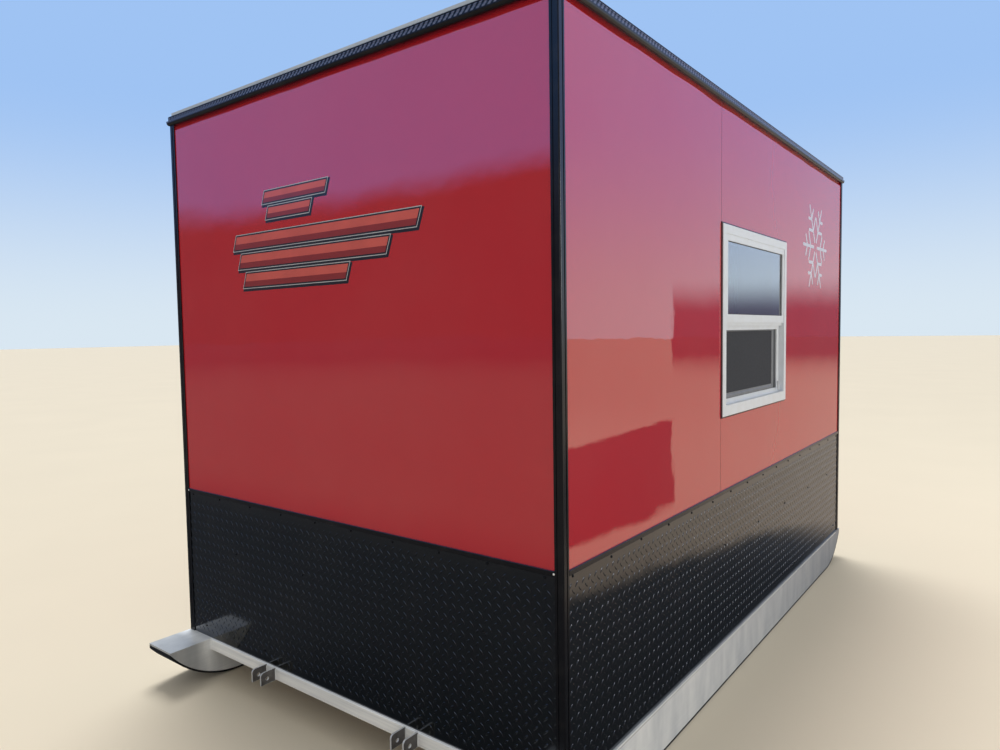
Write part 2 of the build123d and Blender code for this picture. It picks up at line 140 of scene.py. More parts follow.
class StageSettings(bpy.types.PropertyGroup):
    """Camera, lamps, floor and background."""
    focal_length: FloatProperty(name="Focal length", description="Camera lens, in millimetres",
                                unit="CAMERA", default=25.633)
    front_power: FloatProperty(name="Front lamp", description="Power of the lamp in front",
                               unit="POWER", default=25.0)
    side_power: FloatProperty(name="Side lamp", description="Power of the lamp at the right",
                              unit="POWER", default=185.0)
    top_strength: FloatProperty(name="Top lamp", default=2.1, min=0.0,
                                description="Strength of the wide lamp over the rear left")
    even_light: FloatProperty(name="Even light", description="Strength of the light all round",
                              default=0.6, min=0.0)
    floor_colour: colour_setting("Floor", "Plain pale floor", "#DDD2BC")
    mirrored_floor: colour_setting("Mirrored floor", "Floor as gloss shows it", "#B5A592")
    mirrored_shade: colour_setting("Mirrored shade", "Hut's shade as gloss shows it", "#363537")
    mirrored_patch: colour_setting("Mirrored patch", "Dark floor further off in gloss", "#332F31")
    horizon: colour_setting("Horizon", "Background at eye level", "#D9E7F2")
    mid_sky: colour_setting("Background", "Background above eye level", "#9FC3F3")
    side_sky: colour_setting("Side background", "What the right wall mirrors", "#A2BFFF")
    front_sky: colour_setting("Front background", "What the front wall mirrors", "#6A9CE6")
    front_band: colour_setting("Front band", "Low backdrop the front wall mirrors", "#5F545C")
    side_band: colour_setting("Side band", "Low backdrop the right wall mirrors", "#666478")
    zenith: colour_setting("Zenith", "Background overhead", "#BFD0E4")


# Places on the walls
def wall_matrix(wall):
    """Wall coordinates to the frame: x runs along the wall, y is the height over the ice
    and z stands out from the skin. The middle of the wall is at x = 0."""
    along, out = (Vector(v) for v in WALL_DIRECTIONS[wall])
    low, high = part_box(f"{wall}_upper_skin")
    skin = (low + high) / 2 + out * abs((high - low).dot(out)) / 2
    skin.z = 0.0
    matrix = Matrix((along, (0, 0, 1), out)).transposed().to_4x4()
    matrix.translation = skin
    return matrix


def box_on_wall(wall, node):
    """Lowest and highest corner of a node in a wall's coordinates."""
    turn = wall_matrix(wall).inverted()
    first, second = (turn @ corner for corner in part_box(node))
    return Vector(map(min, first, second)), Vector(map(max, first, second))


# Meshes
def block(bm, low, high, bevel=0.0):
    """Adds a box between two corners, with its edges bevelled."""
    corners = [bm.verts.new((x, y, z)) for x in (low[0], high[0]) for y in (low[1], high[1])
               for z in (low[2], high[2])]
    sides = ((0, 1, 3, 2), (4, 6, 7, 5), (0, 4, 5, 1), (2, 3, 7, 6), (0, 2, 6, 4), (1, 5, 7, 3))
    faces = [bm.faces.new([corners[i] for i in side]) for side in sides]
    if bevel:
        edges = {edge for face in faces for edge in face.edges}
        bmesh.ops.bevel(bm, geom=list(edges), offset=bevel, segments=2, profile=0.5,
                        affect="EDGES")


def rings_to_skin(bm, rings, closed):
    """Joins rings of as many points: the last to the first if closed, else with two ends."""
    loops = [[bm.verts.new(point) for point in ring] for ring in rings]
    for first, second in zip(loops, loops[1:] + loops[:1] if closed else loops[1:]):
        for i in range(len(first)):
            j = (i + 1) % len(first)
            bm.faces.new((first[i], first[j], second[j], second[i]))
    if not closed:
        bm.faces.new(loops[0][::-1])
        bm.faces.new(loops[-1])


def prism(bm, outline, z0, z1):
    """Adds a closed plate with this outline, from height z0 to z1."""
    rings_to_skin(bm, [[(x, y, z) for x, y in outline] for z in (z0, z1)], closed=False)


def mitred_frame(bm, low, high, section, top_share=1.0):
    """Adds a rectangular frame with mitred corners. Its section is a closed outline of
    (distance inwards from the rectangle, height); the top bar can be narrower."""
    corners = ((low[0], low[1], 1, 1), (high[0], low[1], -1, 1),
               (high[0], high[1], -1, -top_share), (low[0], high[1], 1, -top_share))
    rings_to_skin(bm, [[(x + inwards * step_x, y + inwards * step_y, z) for inwards, z in section]
                       for x, y, step_x, step_y in corners], closed=True)


def turned_head(bm, radius, rise, sunk, profile, sides, seat=(0, 0, 0)):
    """Adds a turned head about the z axis, whose foot lies this deep under its seat. Its profile
    is in shares of the radius and of the rise, and ends on the axis."""
    x, y, z = seat
    levels = [(1, z - sunk)] + [(across, z + share * rise) for across, share in profile]
    foot, crown = (bm.verts.new((x, y, level)) for level in (z - sunk, levels[-1][1]))
    turns = [2 * pi * i / sides for i in range(sides)]
    rings = [[bm.verts.new((x + across * radius * cos(a), y + across * radius * sin(a), level))
              for a in turns] for across, level in levels[:-1]]
    for i in range(sides):
        j = (i + 1) % sides
        bm.faces.new((foot, rings[0][j], rings[0][i]))
        bm.faces.new((crown, rings[-1][i], rings[-1][j]))
        for first, second in zip(rings, rings[1:]):
            bm.faces.new((first[i], first[j], second[j], second[i]))


def weld_bead(bm, start, end, radius, up=(0, 0, 1)):
    """Adds a rippled weld bead along a straight seam, half sunk in the metal."""
    start, end = Vector(start), Vector(end)
    along = end - start
    side = along.normalized().cross(Vector(up)).normalized()
    other = side.cross(along.normalized())
    ripple_pitch = 2.4 * MM
    steps = max(6, round(along.length / ripple_pitch) * 3)
    rings = []
    for k in range(steps + 1):
        share = k / steps
        phase = share * along.length / ripple_pitch
        swell = radius * (1.0 + 0.10 * abs(sin(pi * phase)) + 0.06 * sin(7.0 * share + radius))
        if k in (0, steps):
            swell *= 0.45
        middle = start + along * share
        rings.append([middle + side * (swell * cos(a)) + other * (swell * sin(a))
                      for a in (2 * pi * i / 8 for i in range(8))])
    rings_to_skin(bm, rings, closed=False)


def mesh_of(bm, name):
    """Turns a working mesh into a mesh with its faces outwards."""
    bmesh.ops.recalc_face_normals(bm, faces=bm.faces)
    mesh = bpy.data.meshes.new(name)
    bm.to_mesh(mesh)
    bm.free()
    return mesh


def finished(name, bm, finish, place=None, smooth=True):
    """Makes a piece from a mesh in wall or frame coordinates."""
    mesh = mesh_of(bm, name)
    if place is not None:
        mesh.transform(place)
    return settled(name, mesh, finish, smooth)


def settled(name, mesh, finish, smooth=True):
    """Puts a finished mesh in the scene as a piece that rides on the hut."""
    mesh.name = name
    mesh.materials.clear()
    mesh.materials.append(made(finish))
    if smooth:
        mesh.shade_smooth()
        mesh.set_sharp_from_angle(angle=radians(35))
    piece = linked(bpy.data.objects.new(name, mesh))
    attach(piece, BODY)
    return piece


def linked(item):
    """Links an object to the scene."""
    bpy.context.scene.collection.objects.link(item)
    return item


# Nodes
def add(tree, kind, inputs=None, **settings):
    """Adds a node with its settings. Each input is set, or linked to a socket or to the result
    of a node; a text is an sRGB colour."""
    node = tree.nodes.new(kind)
    for name, value in settings.items():
        setattr(node, name, value)
    for key, value in (inputs or {}).items():
        if isinstance(value, bpy.types.Node):
            value = next(socket for socket in value.outputs if socket.enabled)
        if isinstance(value, bpy.types.NodeSocket):
            tree.links.new(value, node.inputs[key])
        else:
            node.inputs[key].default_value = (hex_colour(value) if isinstance(value, str)
                                              else value)
    return node


made_finishes = {}


def made(finish):
    """The material that this function describes, made only once. The function gets the
    material's tree and the place on the piece, and returns the properties of the surface."""
    if finish not in made_finishes:
        material = bpy.data.materials.new(finish.__name__)
        material.use_nodes = True
        tree = material.node_tree
        tree.nodes.clear()
        place = add(tree, "ShaderNodeTexCoord").outputs["Object"]
        shader = add(tree, "ShaderNodeBsdfPrincipled", finish(tree, place))
        add(tree, "ShaderNodeOutputMaterial", {"Surface": shader})
        made_finishes[finish] = material
    return made_finishes[finish]


# Finishes. Sizes of patches, waves and lines are in metres
def mottled(tree, place, size, detail, first, second, spread=None):
    """A colour that wanders between two tones in patches of this size. Of the noise, spread
    gives the level where the second tone starts, the level where it is at its most, and how
    much that is."""
    share = add(tree, "ShaderNodeTexNoise", {"Vector": place, "Scale": 1 / size,
                                             "Detail": detail})
    if spread:
        share = add(tree, "ShaderNodeMapRange", {
            "Value": share, "From Min": spread[0], "From Max": spread[1], "To Max": spread[2]})
    return add(tree, "ShaderNodeMix", {0: share, 6: first, 7: second}, data_type="RGBA")


def red_enamel_sheet(tree, place):
    """Thin aluminium sheet, coil coated in red enamel under a clear deep gloss, with a trace of
    dust. Its mirror images wander because sheet on a frame is never quite flat."""
    # Waves of about 300 mm from the frame behind, and of about 60 mm from rolling
    waves, rolling = (add(tree, "ShaderNodeTexNoise", {"Vector": place, "Scale": 1 / size,
                                                       "Detail": 1.0}) for size in (0.30, 0.06))
    dusty = mottled(tree, place, 0.5, 5.0, bpy.context.scene.hut_colours.red, "#B98F86",
                    (0.4, 0.8, 0.04))
    # The top 20 mm or so turns in to the roof edge and mirrors the trim's underside; there the
    # base colour also darkens to #470A1C as painted shade under the trim
    height = add(tree, "ShaderNodeSeparateXYZ", {0: place}).outputs[2]
    uneven = add(tree, "ShaderNodeMath", {0: waves, 1: 12 * MM, 2: height},
                 operation="MULTIPLY_ADD")
    bend_and_painted_shade = add(tree, "ShaderNodeMapRange", {"Value": uneven, "From Min": 2.390,
                                            "From Max": 2.418, "To Min": 1.0, "To Max": 0.0})
    skin = add(tree, "ShaderNodeBump", {"Height": bend_and_painted_shade, "Distance": 10 * MM})
    for swell, depth in ((waves, 1.3 * MM), (rolling, 0.12 * MM)):
        skin = add(tree, "ShaderNodeBump", {"Height": swell, "Distance": depth, "Normal": skin})
    return {"Base Color": add(tree, "ShaderNodeMix", {0: bend_and_painted_shade, 6: "#470A1C", 7: dusty},
                              data_type="RGBA"),
            "Roughness": 0.4, "Specular IOR Level": 0.0, "Coat Weight": 1.0,
            "Coat Roughness": 0.012, "Coat IOR": 2.6, "Normal": skin, "Coat Normal": skin}


def plate_enamel(tree, place, gloss):
    """Black enamel with a trace of road dust; gloss is its index of refraction."""
    dust, waves = (add(tree, "ShaderNodeTexNoise", {"Vector": place, "Scale": 1 / size,
                                                    "Detail": detail})
                   for size, detail in ((0.18, 6.0), (0.25, 2.0)))
    amount = add(tree, "ShaderNodeMapRange", {"Value": dust, "From Min": 0.5, "From Max": 0.9,
                                              "To Max": 0.03})
    colour = add(tree, "ShaderNodeMix", {
        0: amount, 6: bpy.context.scene.hut_colours.black_plate, 7: "#6B655C"},
        data_type="RGBA")
    rough = add(tree, "ShaderNodeMapRange", {"Value": dust, "From Min": 0.3, "From Max": 0.8,
                                             "To Min": 0.06, "To Max": 0.14})
    skin = add(tree, "ShaderNodeBump", {"Height": waves, "Distance": 1.5 * MM})
    return {"Base Color": colour, "Roughness": rough, "IOR": gloss, "Normal": skin}


def black_enamel_plate(tree, place):
    """Ground of the aluminium tread plate under black enamel: dark, with soft mirror images."""
    return plate_enamel(tree, place, 1.95)


def rubbed_lozenge(tree, place):
    """Backs of the lozenges, where boots and snow have rubbed the black enamel smooth."""
    return plate_enamel(tree, place, 1.9)


def extruded_trim(tree, place, line_size, rib_height=0.0):
    """Extruded aluminium under black semi-gloss enamel, with faint die lines along its length. At
    the given height it has an insert 20 mm high with slanted ribs, drawn 21 mm apart to show as
    bluish grey lines: painted reflection of the sky on the ribs' faces."""
    stretched = add(tree, "ShaderNodeMapping", {"Vector": place,
                                                "Scale": [1 / length for length in line_size]})
    lines = add(tree, "ShaderNodeTexNoise", {"Vector": stretched, "Scale": 1.0, "Detail": 2.0})
    colour = mottled(tree, place, 0.07, 5.0, bpy.context.scene.hut_colours.black_trim,
                     "#6E6A66", (0.5, 0.85, 0.06))
    if rib_height:
        # Painted reflection: the ribs are bluish grey lines on the black, where their faces would
        # mirror the sky
        height = add(tree, "ShaderNodeSeparateXYZ", {0: place}).outputs[2]
        insert = add(tree, "ShaderNodeMath", {0: height, 1: rib_height, 2: 10 * MM},
                     operation="COMPARE")
        lean = add(tree, "ShaderNodeVectorMath", {0: place, 1: (1.0, 1.0, -0.8)},
                   operation="DOT_PRODUCT")
        wave = add(tree, "ShaderNodeMath", {0: lean, 1: 10.5 * MM}, operation="PINGPONG")
        rib_painted_reflection = add(tree, "ShaderNodeMapRange", {"Value": wave, "From Min": 4.2 * MM,
                                               "From Max": 6.2 * MM},
                  interpolation_type="SMOOTHSTEP")
        share = add(tree, "ShaderNodeMath", {0: rib_painted_reflection, 1: insert}, operation="MULTIPLY")
        colour = add(tree, "ShaderNodeMix", {0: share, 6: colour, 7: "#5C6178"},
                     data_type="RGBA")
    return {"Base Color": colour, "Roughness": 0.24, "IOR": 1.6,
            "Normal": add(tree, "ShaderNodeBump", {"Height": lines, "Distance": 0.05 * MM})}


def trim_lying(tree, place):
    """Trim that lies level; its die lines are 1.5 mm apart and drawn 600 mm long."""
    return extruded_trim(tree, place, (0.6, 0.6, 0.0015))


def roof_edge_trim(tree, place):
    """Trim round the roof, with its ribbed insert 2.430 m over the ice, the ribs painted as sky
    reflection.
    """
    return extruded_trim(tree, place, (0.6, 0.6, 0.0015), 2.430)


def trim_upright(tree, place):
    """Trim over an upright corner; its die lines are 1.5 mm apart and drawn 600 mm long."""
    return extruded_trim(tree, place, (0.0015, 0.0015, 0.6))


def mill_aluminium(tree, place, cloud_size, line_size):
    """Bare mill finish aluminium: dull silver with rolling lines, cloudy from oxide."""
    clouds, lines = (
        add(tree, "ShaderNodeTexNoise", {
            "Vector": add(tree, "ShaderNodeMapping", {
                "Vector": place, "Scale": [1 / length for length in size]}),
            "Scale": 1.0, "Detail": detail})
        for size, detail in ((cloud_size, 5.0), (line_size, 3.0)))
    mixed = add(tree, "ShaderNodeMix", {0: 0.2, 2: clouds, 3: lines})
    share = add(tree, "ShaderNodeMapRange", {"Value": mixed, "From Min": 0.30,
                                             "From Max": 0.66})
    colour = add(tree, "ShaderNodeMix", {0: share, 6: "#CDD0D2",
                                         7: bpy.context.scene.hut_colours.mill},
                 data_type="RGBA")
    # Painted shade: the metal darkens towards the rear, and the ski tips darken to a bluish grey
    along = add(tree, "ShaderNodeSeparateXYZ", {0: place}).outputs[1]
    for start, end, most, tone, ease in ((-1.3, 1.7, 0.8, "#6E7077", "LINEAR"),
                                         (-1.60, -1.67, 0.55, "#5C636B", "SMOOTHSTEP")):
        share = add(tree, "ShaderNodeMapRange", {"Value": along, "From Min": start,
                                                 "From Max": end, "To Max": most},
                    interpolation_type=ease)
        colour = add(tree, "ShaderNodeMix", {0: share, 6: colour, 7: tone}, data_type="RGBA")
    rough = add(tree, "ShaderNodeMapRange", {"Value": mixed, "From Min": 0.35,
                                             "From Max": 0.65, "To Min": 0.56, "To Max": 0.38})
    return {"Base Color": colour, "Metallic": 0.12, "Roughness": rough,
            "Normal": add(tree, "ShaderNodeBump", {"Height": lines, "Distance": 0.08 * MM})}


def runner_plate(tree, place):
    """Runners and hitch lugs: clouds stand upright as where water has run down, and rolling
    lines run from front to rear, drawn 3 mm apart to show."""
    return mill_aluminium(tree, place, (0.09, 0.09, 0.3), (0.003, 0.5, 0.003))


def cross_tubing(tree, place):
    """Square tubes across the hut: clouds and die lines run along them, the lines drawn 4 mm
    apart to show."""
    return mill_aluminium(tree, place, (0.5, 0.05, 0.02), (0.6, 0.004, 0.004))


def bright_metal_and_painted_highlight(tree, place):
    """Bare aluminium rivets, screws and key cylinder, rubbed bright by hands and boots; along the
    runners' top edges the same bright tone is a painted highlight.
    """
    return {"Base Color": mottled(tree, place, 0.05, 4.0, "#D9DCDC", "#FAFBF8"),
            "Metallic": 0.1, "Roughness": 0.3}


def painted_shade_plate(tree, place):
    """Aluminium plate in painted shade, mottled dark grey: the flats of the hitch ears and the
    line under each runner's top edge.
    """
    return {"Base Color": mottled(tree, place, 0.02, 5.0, "#4E4C4B", "#858280"),
            "Metallic": 0.3, "Roughness": 0.55}


def weathered_vinyl(tree, place):
    """Extruded white vinyl: satin, a little grey with weather."""
    return {"Base Color": mottled(tree, place, 0.05, 6.0, bpy.context.scene.hut_colours.vinyl,
                                  "#B9B4AC", (0.4, 0.8, 0.18)),
            "Roughness": 0.38, "IOR": 1.5}


def double_glazing(tree, place):
    """Double glazed pane: clear, with the strong mirror image that its four faces give."""
    bow = add(tree, "ShaderNodeTexNoise", {"Vector": place, "Scale": 1 / 0.4, "Detail": 0.0})
    return {"Base Color": "#DDE8EC", "Roughness": 0.0, "IOR": 1.52, "Transmission Weight": 1.0,
            "Coat Weight": 1.0, "Coat Roughness": 0.0, "Coat IOR": 3.4,
            "Coat Normal": add(tree, "ShaderNodeBump", {"Height": bow, "Distance": 1.0 * MM})}


def screen_cloth(tree, place):
    """Black glass-fibre insect screen: a fine cloth that looks like a dark veil. Its threads are
    1.4 mm apart in life and drawn 5 mm apart so that they show."""
    return {"Base Color": mottled(tree, place, 0.005, 1.0, "#1F2022", "#404143"),
            "Roughness": 0.75, "Alpha": 0.92}


def screen_bar_enamel(tree, place):
    """Roll-formed aluminium screen bar in grey enamel."""
    return {"Base Color": mottled(tree, place, 0.03, 4.0, "#65686C", "#7F8286"),
            "Roughness": 0.4, "IOR": 1.5}


def screen_painted_shade(tree, place):
    """Dark grey strip beside the screen, mottled: painted shade of the rear jamb."""
    return {"Base Color": mottled(tree, place, 0.03, 4.0, "#36383A", "#4C4F50"),
            "Roughness": 0.6}


def scuffed_sole_plastic(tree, place):
    """Black UHMW plastic sole and lids: waxy, scuffed grey by snow and grit. The scuffs run
    from front to rear."""
    along = add(tree, "ShaderNodeMapping", {"Vector": place,
                                            "Scale": (1 / 0.004, 1 / 0.15, 1 / 0.004)})
    return {"Base Color": mottled(tree, along, 1.0, 4.0, "#161616", "#3A3937", (0.5, 0.8, 1.0)),
            "Roughness": 0.55, "IOR": 1.5}


def pebbled_wall_board(tree, place):
    """White plastic faced board inside the walls, with a light pebble."""
    pebble = add(tree, "ShaderNodeTexVoronoi", {"Vector": place, "Scale": 1 / 0.006})
    return {"Base Color": mottled(tree, place, 0.4, 3.0, "#C9C8C3", "#DAD9D4"),
            "Roughness": 0.45,
            "Normal": add(tree, "ShaderNodeBump", {"Height": pebble, "Distance": 0.2 * MM})}


def floor_plywood(tree, place):
    """Softwood plywood deck with long grain from front to rear."""
    stretched = add(tree, "ShaderNodeMapping", {"Vector": place,
                                                "Scale": (1 / 0.02, 1 / 0.35, 1 / 0.02)})
    grain = add(tree, "ShaderNodeTexNoise", {"Vector": stretched, "Scale": 1.0, "Detail": 6.0,
                                             "Distortion": 0.6})
    return {"Base Color": add(tree, "ShaderNodeMix", {0: grain, 6: "#7D5F3E", 7: "#B8925F"},
                              data_type="RGBA"),
            "Roughness": 0.65,
            "Normal": add(tree, "ShaderNodeBump", {"Height": grain, "Distance": 0.4 * MM})}


def roof_membrane_painted_shade(tree, place):
    """White rubber roof membrane, matt and chalky, coloured blue-grey as painted shade of a white
    sheet under the sky, with faint runs of a darker blue-grey.
    """
    wrinkle = add(tree, "ShaderNodeTexNoise", {"Vector": place, "Scale": 1 / 0.22,
                                               "Detail": 3.0})
    return {"Base Color": mottled(tree, place, 0.35, 7.0, "#AEBACB", "#8796B0",
                                  (0.35, 0.75, 0.45)),
            "Roughness": 0.7,
            "Normal": add(tree, "ShaderNodeBump", {"Height": wrinkle, "Distance": 4.0 * MM})}


def powder_coat(tree, place):
    """Black powder coat on steel hardware: satin with a fine orange peel."""
    peel = add(tree, "ShaderNodeTexNoise", {"Vector": place, "Scale": 1 / 0.0015,
                                            "Detail": 1.0})
    return {"Base Color": mottled(tree, place, 0.03, 4.0, "#0E0F11", "#1B1D20"),
            "Roughness": 0.38, "IOR": 1.3,
            "Normal": add(tree, "ShaderNodeBump", {"Height": peel, "Distance": 0.05 * MM})}


def black_rubber_and_painted_shade(tree, place):
    """Extruded rubber gasket and door seal: dull and dusty. The same black also marks the keyway
    as painted shade.
    """
    return {"Base Color": mottled(tree, place, 0.02, 5.0, "#141414", "#2B2A29"),
            "Roughness": 0.7}


def joint_sealant(tree, place):
    """Narrow bead of dark red sealant, smooth and a little shiny."""
    return {"Base Color": mottled(tree, place, 0.04, 4.0, "#2A0A10", "#54222A"),
            "Roughness": 0.4, "IOR": 1.5}


def cast_film(tree, place, colour):
    """Cast vinyl film: even colour under a soft gloss, a little uneven where it was laid."""
    return {"Base Color": mottled(tree, place, 0.09, 3.0, darkened(colour, 0.72), colour),
            "Roughness": 0.3, "Coat Weight": 0.6, "Coat Roughness": 0.08}


def coral_film(tree, place):
    """Fill of the front stripes."""
    return cast_film(tree, place, bpy.context.scene.hut_colours.print_fill)


def brick_film(tree, place):
    """Darker foot of the front stripes."""
    return cast_film(tree, place, bpy.context.scene.hut_colours.print_low)


def slate_film(tree, place):
    """Shade behind the front stripes."""
    return cast_film(tree, place, bpy.context.scene.hut_colours.print_shade)


def pale_film(tree, place):
    """Edge line of the stripes."""
    return cast_film(tree, place, bpy.context.scene.hut_colours.print_line)


def silver_film(tree, place):
    """Film of the snowflakes."""
    return cast_film(tree, place, bpy.context.scene.hut_colours.snowflake)


# Finish of each CAD node, by its name or by the material slot that the record gives it
NODE_FINISHES = {
    **{f"{wall}_roof_edge_trim": roof_edge_trim for wall in WALL_DIRECTIONS},
    "belt_trims": trim_lying,
    "front_cross_tube": cross_tubing,
    "floor_bearers": cross_tubing,
}
SLOT_FINISHES = {
    "red_skin": red_enamel_sheet,
    "black_tread_plate": black_enamel_plate,
    "black_trim": trim_upright,
    "mill_aluminium": runner_plate,
    "sole_plastic": scuffed_sole_plastic,
    "white_vinyl": weathered_vinyl,
    "window_glass": double_glazing,
    "screen_mesh": screen_cloth,
    "wall_lining": pebbled_wall_board,
    "floor_board": floor_plywood,
    "roof_membrane": roof_membrane_painted_shade,
    "door_hardware": powder_coat,
}


class HUT_OT_finish_nodes(bpy.types.Operator):
    """Gives each piece of the packed model its real finish"""
    bl_idname = "hut.finish_nodes"
    bl_label = "Finish the built pieces"

    def execute(self, context):
        slots = {row["node"]: row["material_slot"] for row in frame["record"]["subparts"]}
        for name, node in frame["nodes"].items():
            finish = NODE_FINISHES.get(name, SLOT_FINISHES[slots[name]])
            node.data.materials.clear()
            node.data.materials.append(made(finish))
        return {"FINISHED"}


# Geometry Nodes trees
def new_tree(name, inputs):
    """A geometry tree with these named inputs, and its group input's sockets."""
    tree = bpy.data.node_groups.new(name, "GeometryNodeTree")
    tree.interface.new_socket("Geometry", in_out="INPUT", socket_type="NodeSocketGeometry")
    tree.interface.new_socket("Geometry", in_out="OUTPUT", socket_type="NodeSocketGeometry")
    for socket_name, kind in inputs.items():
        tree.interface.new_socket(socket_name, in_out="INPUT", socket_type=kind)
    return tree, tree.nodes.new("NodeGroupInput").outputs


def end_tree(tree, geometry, finish):
    """Ends a geometry tree in real geometry with this finish."""
    real = add(tree, "GeometryNodeRealizeInstances", {0: geometry})
    coated = add(tree, "GeometryNodeSetMaterial", {"Geometry": real, "Material": finish})
    add(tree, "NodeGroupOutput", {0: coated})
    return tree


def grown(name, tree, values, mesh=None):
    """Runs a geometry tree with these input values and returns the plain mesh it makes."""
    carrier = linked(bpy.data.objects.new(name, mesh or bpy.data.meshes.new(name)))
    modifier = carrier.modifiers.new(name, "NODES")
    modifier.node_group = tree
    for item in tree.interface.items_tree:
        if item.in_out == "INPUT" and item.name in values:
            modifier[item.identifier] = values[item.name]
    bpy.context.view_layer.update()
    graph = bpy.context.evaluated_depsgraph_get()
    result = bpy.data.meshes.new_from_object(carrier.evaluated_get(graph), depsgraph=graph)
    carrier.modifiers.remove(modifier)
    bpy.data.objects.remove(carrier)
    return result


def lozenge_tree():
    """Lozenges in two crossed sets, each half a pitch from the other."""
    tree, given = new_tree("tread_lozenges", {
        "Lozenge": "NodeSocketObject", "Columns": "NodeSocketInt", "Rows": "NodeSocketInt",
        "Pitch along": "NodeSocketFloat", "Pitch up": "NodeSocketFloat",
        "Slope": "NodeSocketFloat", "First": "NodeSocketVector",
        "Finish": "NodeSocketMaterial"})
    lozenge = add(tree, "GeometryNodeObjectInfo", {"Object": given["Lozenge"]})
    # A grid of n points is n - 1 pitches long
    size = []
    for count, pitch in (("Columns", "Pitch along"), ("Rows", "Pitch up")):
        gaps = add(tree, "ShaderNodeMath", {0: given[count], 1: 1.0}, operation="SUBTRACT")
        size.append(add(tree, "ShaderNodeMath", {0: gaps, 1: given[pitch]},
                        operation="MULTIPLY"))
    grid = add(tree, "GeometryNodeMeshGrid", {
        "Size X": size[0], "Size Y": size[1], "Vertices X": given["Columns"],
        "Vertices Y": given["Rows"]})
    joined = add(tree, "GeometryNodeJoinGeometry")
    # The grid lies about its middle, so half its size is added to the first place
    place = given["First"]
    for span, sign in ((size, -1.0), ((given["Pitch along"], given["Pitch up"]), 1.0)):
        whole = add(tree, "ShaderNodeCombineXYZ", {"X": span[0], "Y": span[1]})
        place = add(tree, "ShaderNodeVectorMath", {0: whole, 1: (0.5, 0.5, 0.5), 2: place},
                    operation="MULTIPLY_ADD")
        points = add(tree, "GeometryNodeTransform", {"Geometry": grid, "Translation": place})
        slope = add(tree, "ShaderNodeMath", {0: given["Slope"], 1: sign}, operation="MULTIPLY")
        turn = add(tree, "ShaderNodeCombineXYZ", {"Z": slope})
        lozenges = add(tree, "GeometryNodeInstanceOnPoints", {
            "Points": points, "Instance": lozenge.outputs["Geometry"], "Rotation": turn})
        tree.links.new(lozenges.outputs[0], joined.inputs[0])
    return end_tree(tree, joined, given["Finish"])


def screw_tree():
    """One screw head on each point, strayed a little and turned at random."""
    tree, given = new_tree("scattered_screws", {
        "Head": "NodeSocketObject", "Scatter": "NodeSocketFloat", "Seed": "NodeSocketInt",
        "Finish": "NodeSocketMaterial"})
    head = add(tree, "GeometryNodeObjectInfo", {"Object": given["Head"]})
    # A screw strays four times as far along the wall as up or down
    upwards = add(tree, "ShaderNodeMath", {0: given["Scatter"], 1: 0.25}, operation="MULTIPLY")
    limit = add(tree, "ShaderNodeCombineXYZ", {"X": given["Scatter"], "Y": upwards})
    opposite = add(tree, "ShaderNodeVectorMath", {0: limit, 1: (-1.0, -1.0, -1.0)},
                   operation="MULTIPLY")
    stray, turn = (
        add(tree, "FunctionNodeRandomValue", {0: low, 1: high, "Seed": given["Seed"]},
            data_type="FLOAT_VECTOR")
        for low, high in ((opposite, limit), ((0.0, 0.0, 0.0), (0.0, 0.0, 2 * pi))))
    moved = add(tree, "GeometryNodeSetPosition", {"Geometry": given["Geometry"],
                                                  "Offset": stray})
    heads = add(tree, "GeometryNodeInstanceOnPoints", {
        "Points": moved, "Instance": head.outputs["Geometry"], "Rotation": turn})
    return end_tree(tree, heads, given["Finish"])


def one_lozenge(settings):
    """One lozenge as an object for the tree: a pointed oval that rises to a round back."""
    half_length, half_width = settings.lozenge_length / 2, settings.lozenge_width / 2
    # The side is an arc through both tips
    radius = (half_length ** 2 + half_width ** 2) / (2 * half_width)
    reach = asin(half_length / radius)
    arc = [(radius * sin(a), radius * cos(a) - radius + half_width)
           for a in (-reach, -reach / 2, 0, reach / 2)]
    outline = arc + [(-x, -y) for x, y in arc]
    height = settings.lozenge_height
    levels = ((1.0, -0.2 * MM), (0.88, 0.45 * height), (0.6, 0.86 * height), (0.2, height))
    bm = bmesh.new()
    rings_to_skin(bm, [[(share * x, share * y, z) for x, y in outline] for share, z in levels],
                  closed=False)
    return bpy.data.objects.new("one_lozenge", mesh_of(bm, "one_lozenge"))


def lattice_span(first, pitch, low, high):
    """First place of a lattice inside a stretch, and how many fit in it."""
    start = ceil((low - first) / pitch)
    return first + start * pitch, floor((high - first) / pitch) - start + 1


def tread_fields():
    """Stretches of tread plate: piece name, wall, first and last place along it, lowest and
    highest place, and the height of its face over the skin."""
    fields = []
    for wall in WALL_DIRECTIONS:
        low, high = box_on_wall(wall, f"{wall}_tread_plate")
        if wall != "rear":
            fields.append((f"{wall}_tread_lozenges", wall, low.x, high.x, low.y, high.y, 0.0))
            continue
        door_low, door_high = box_on_wall(wall, "door_frame")
        fields += [("rear_tread_lozenges_left", wall, low.x, door_low.x, low.y, high.y, 0.0),
                   ("rear_tread_lozenges_right", wall, door_high.x, high.x, low.y, high.y, 0.0)]
        low, high = box_on_wall(wall, "door_kick_plate")
        fields.append(("door_tread_lozenges", wall, low.x, high.x, low.y, high.y, high.z))
    return fields


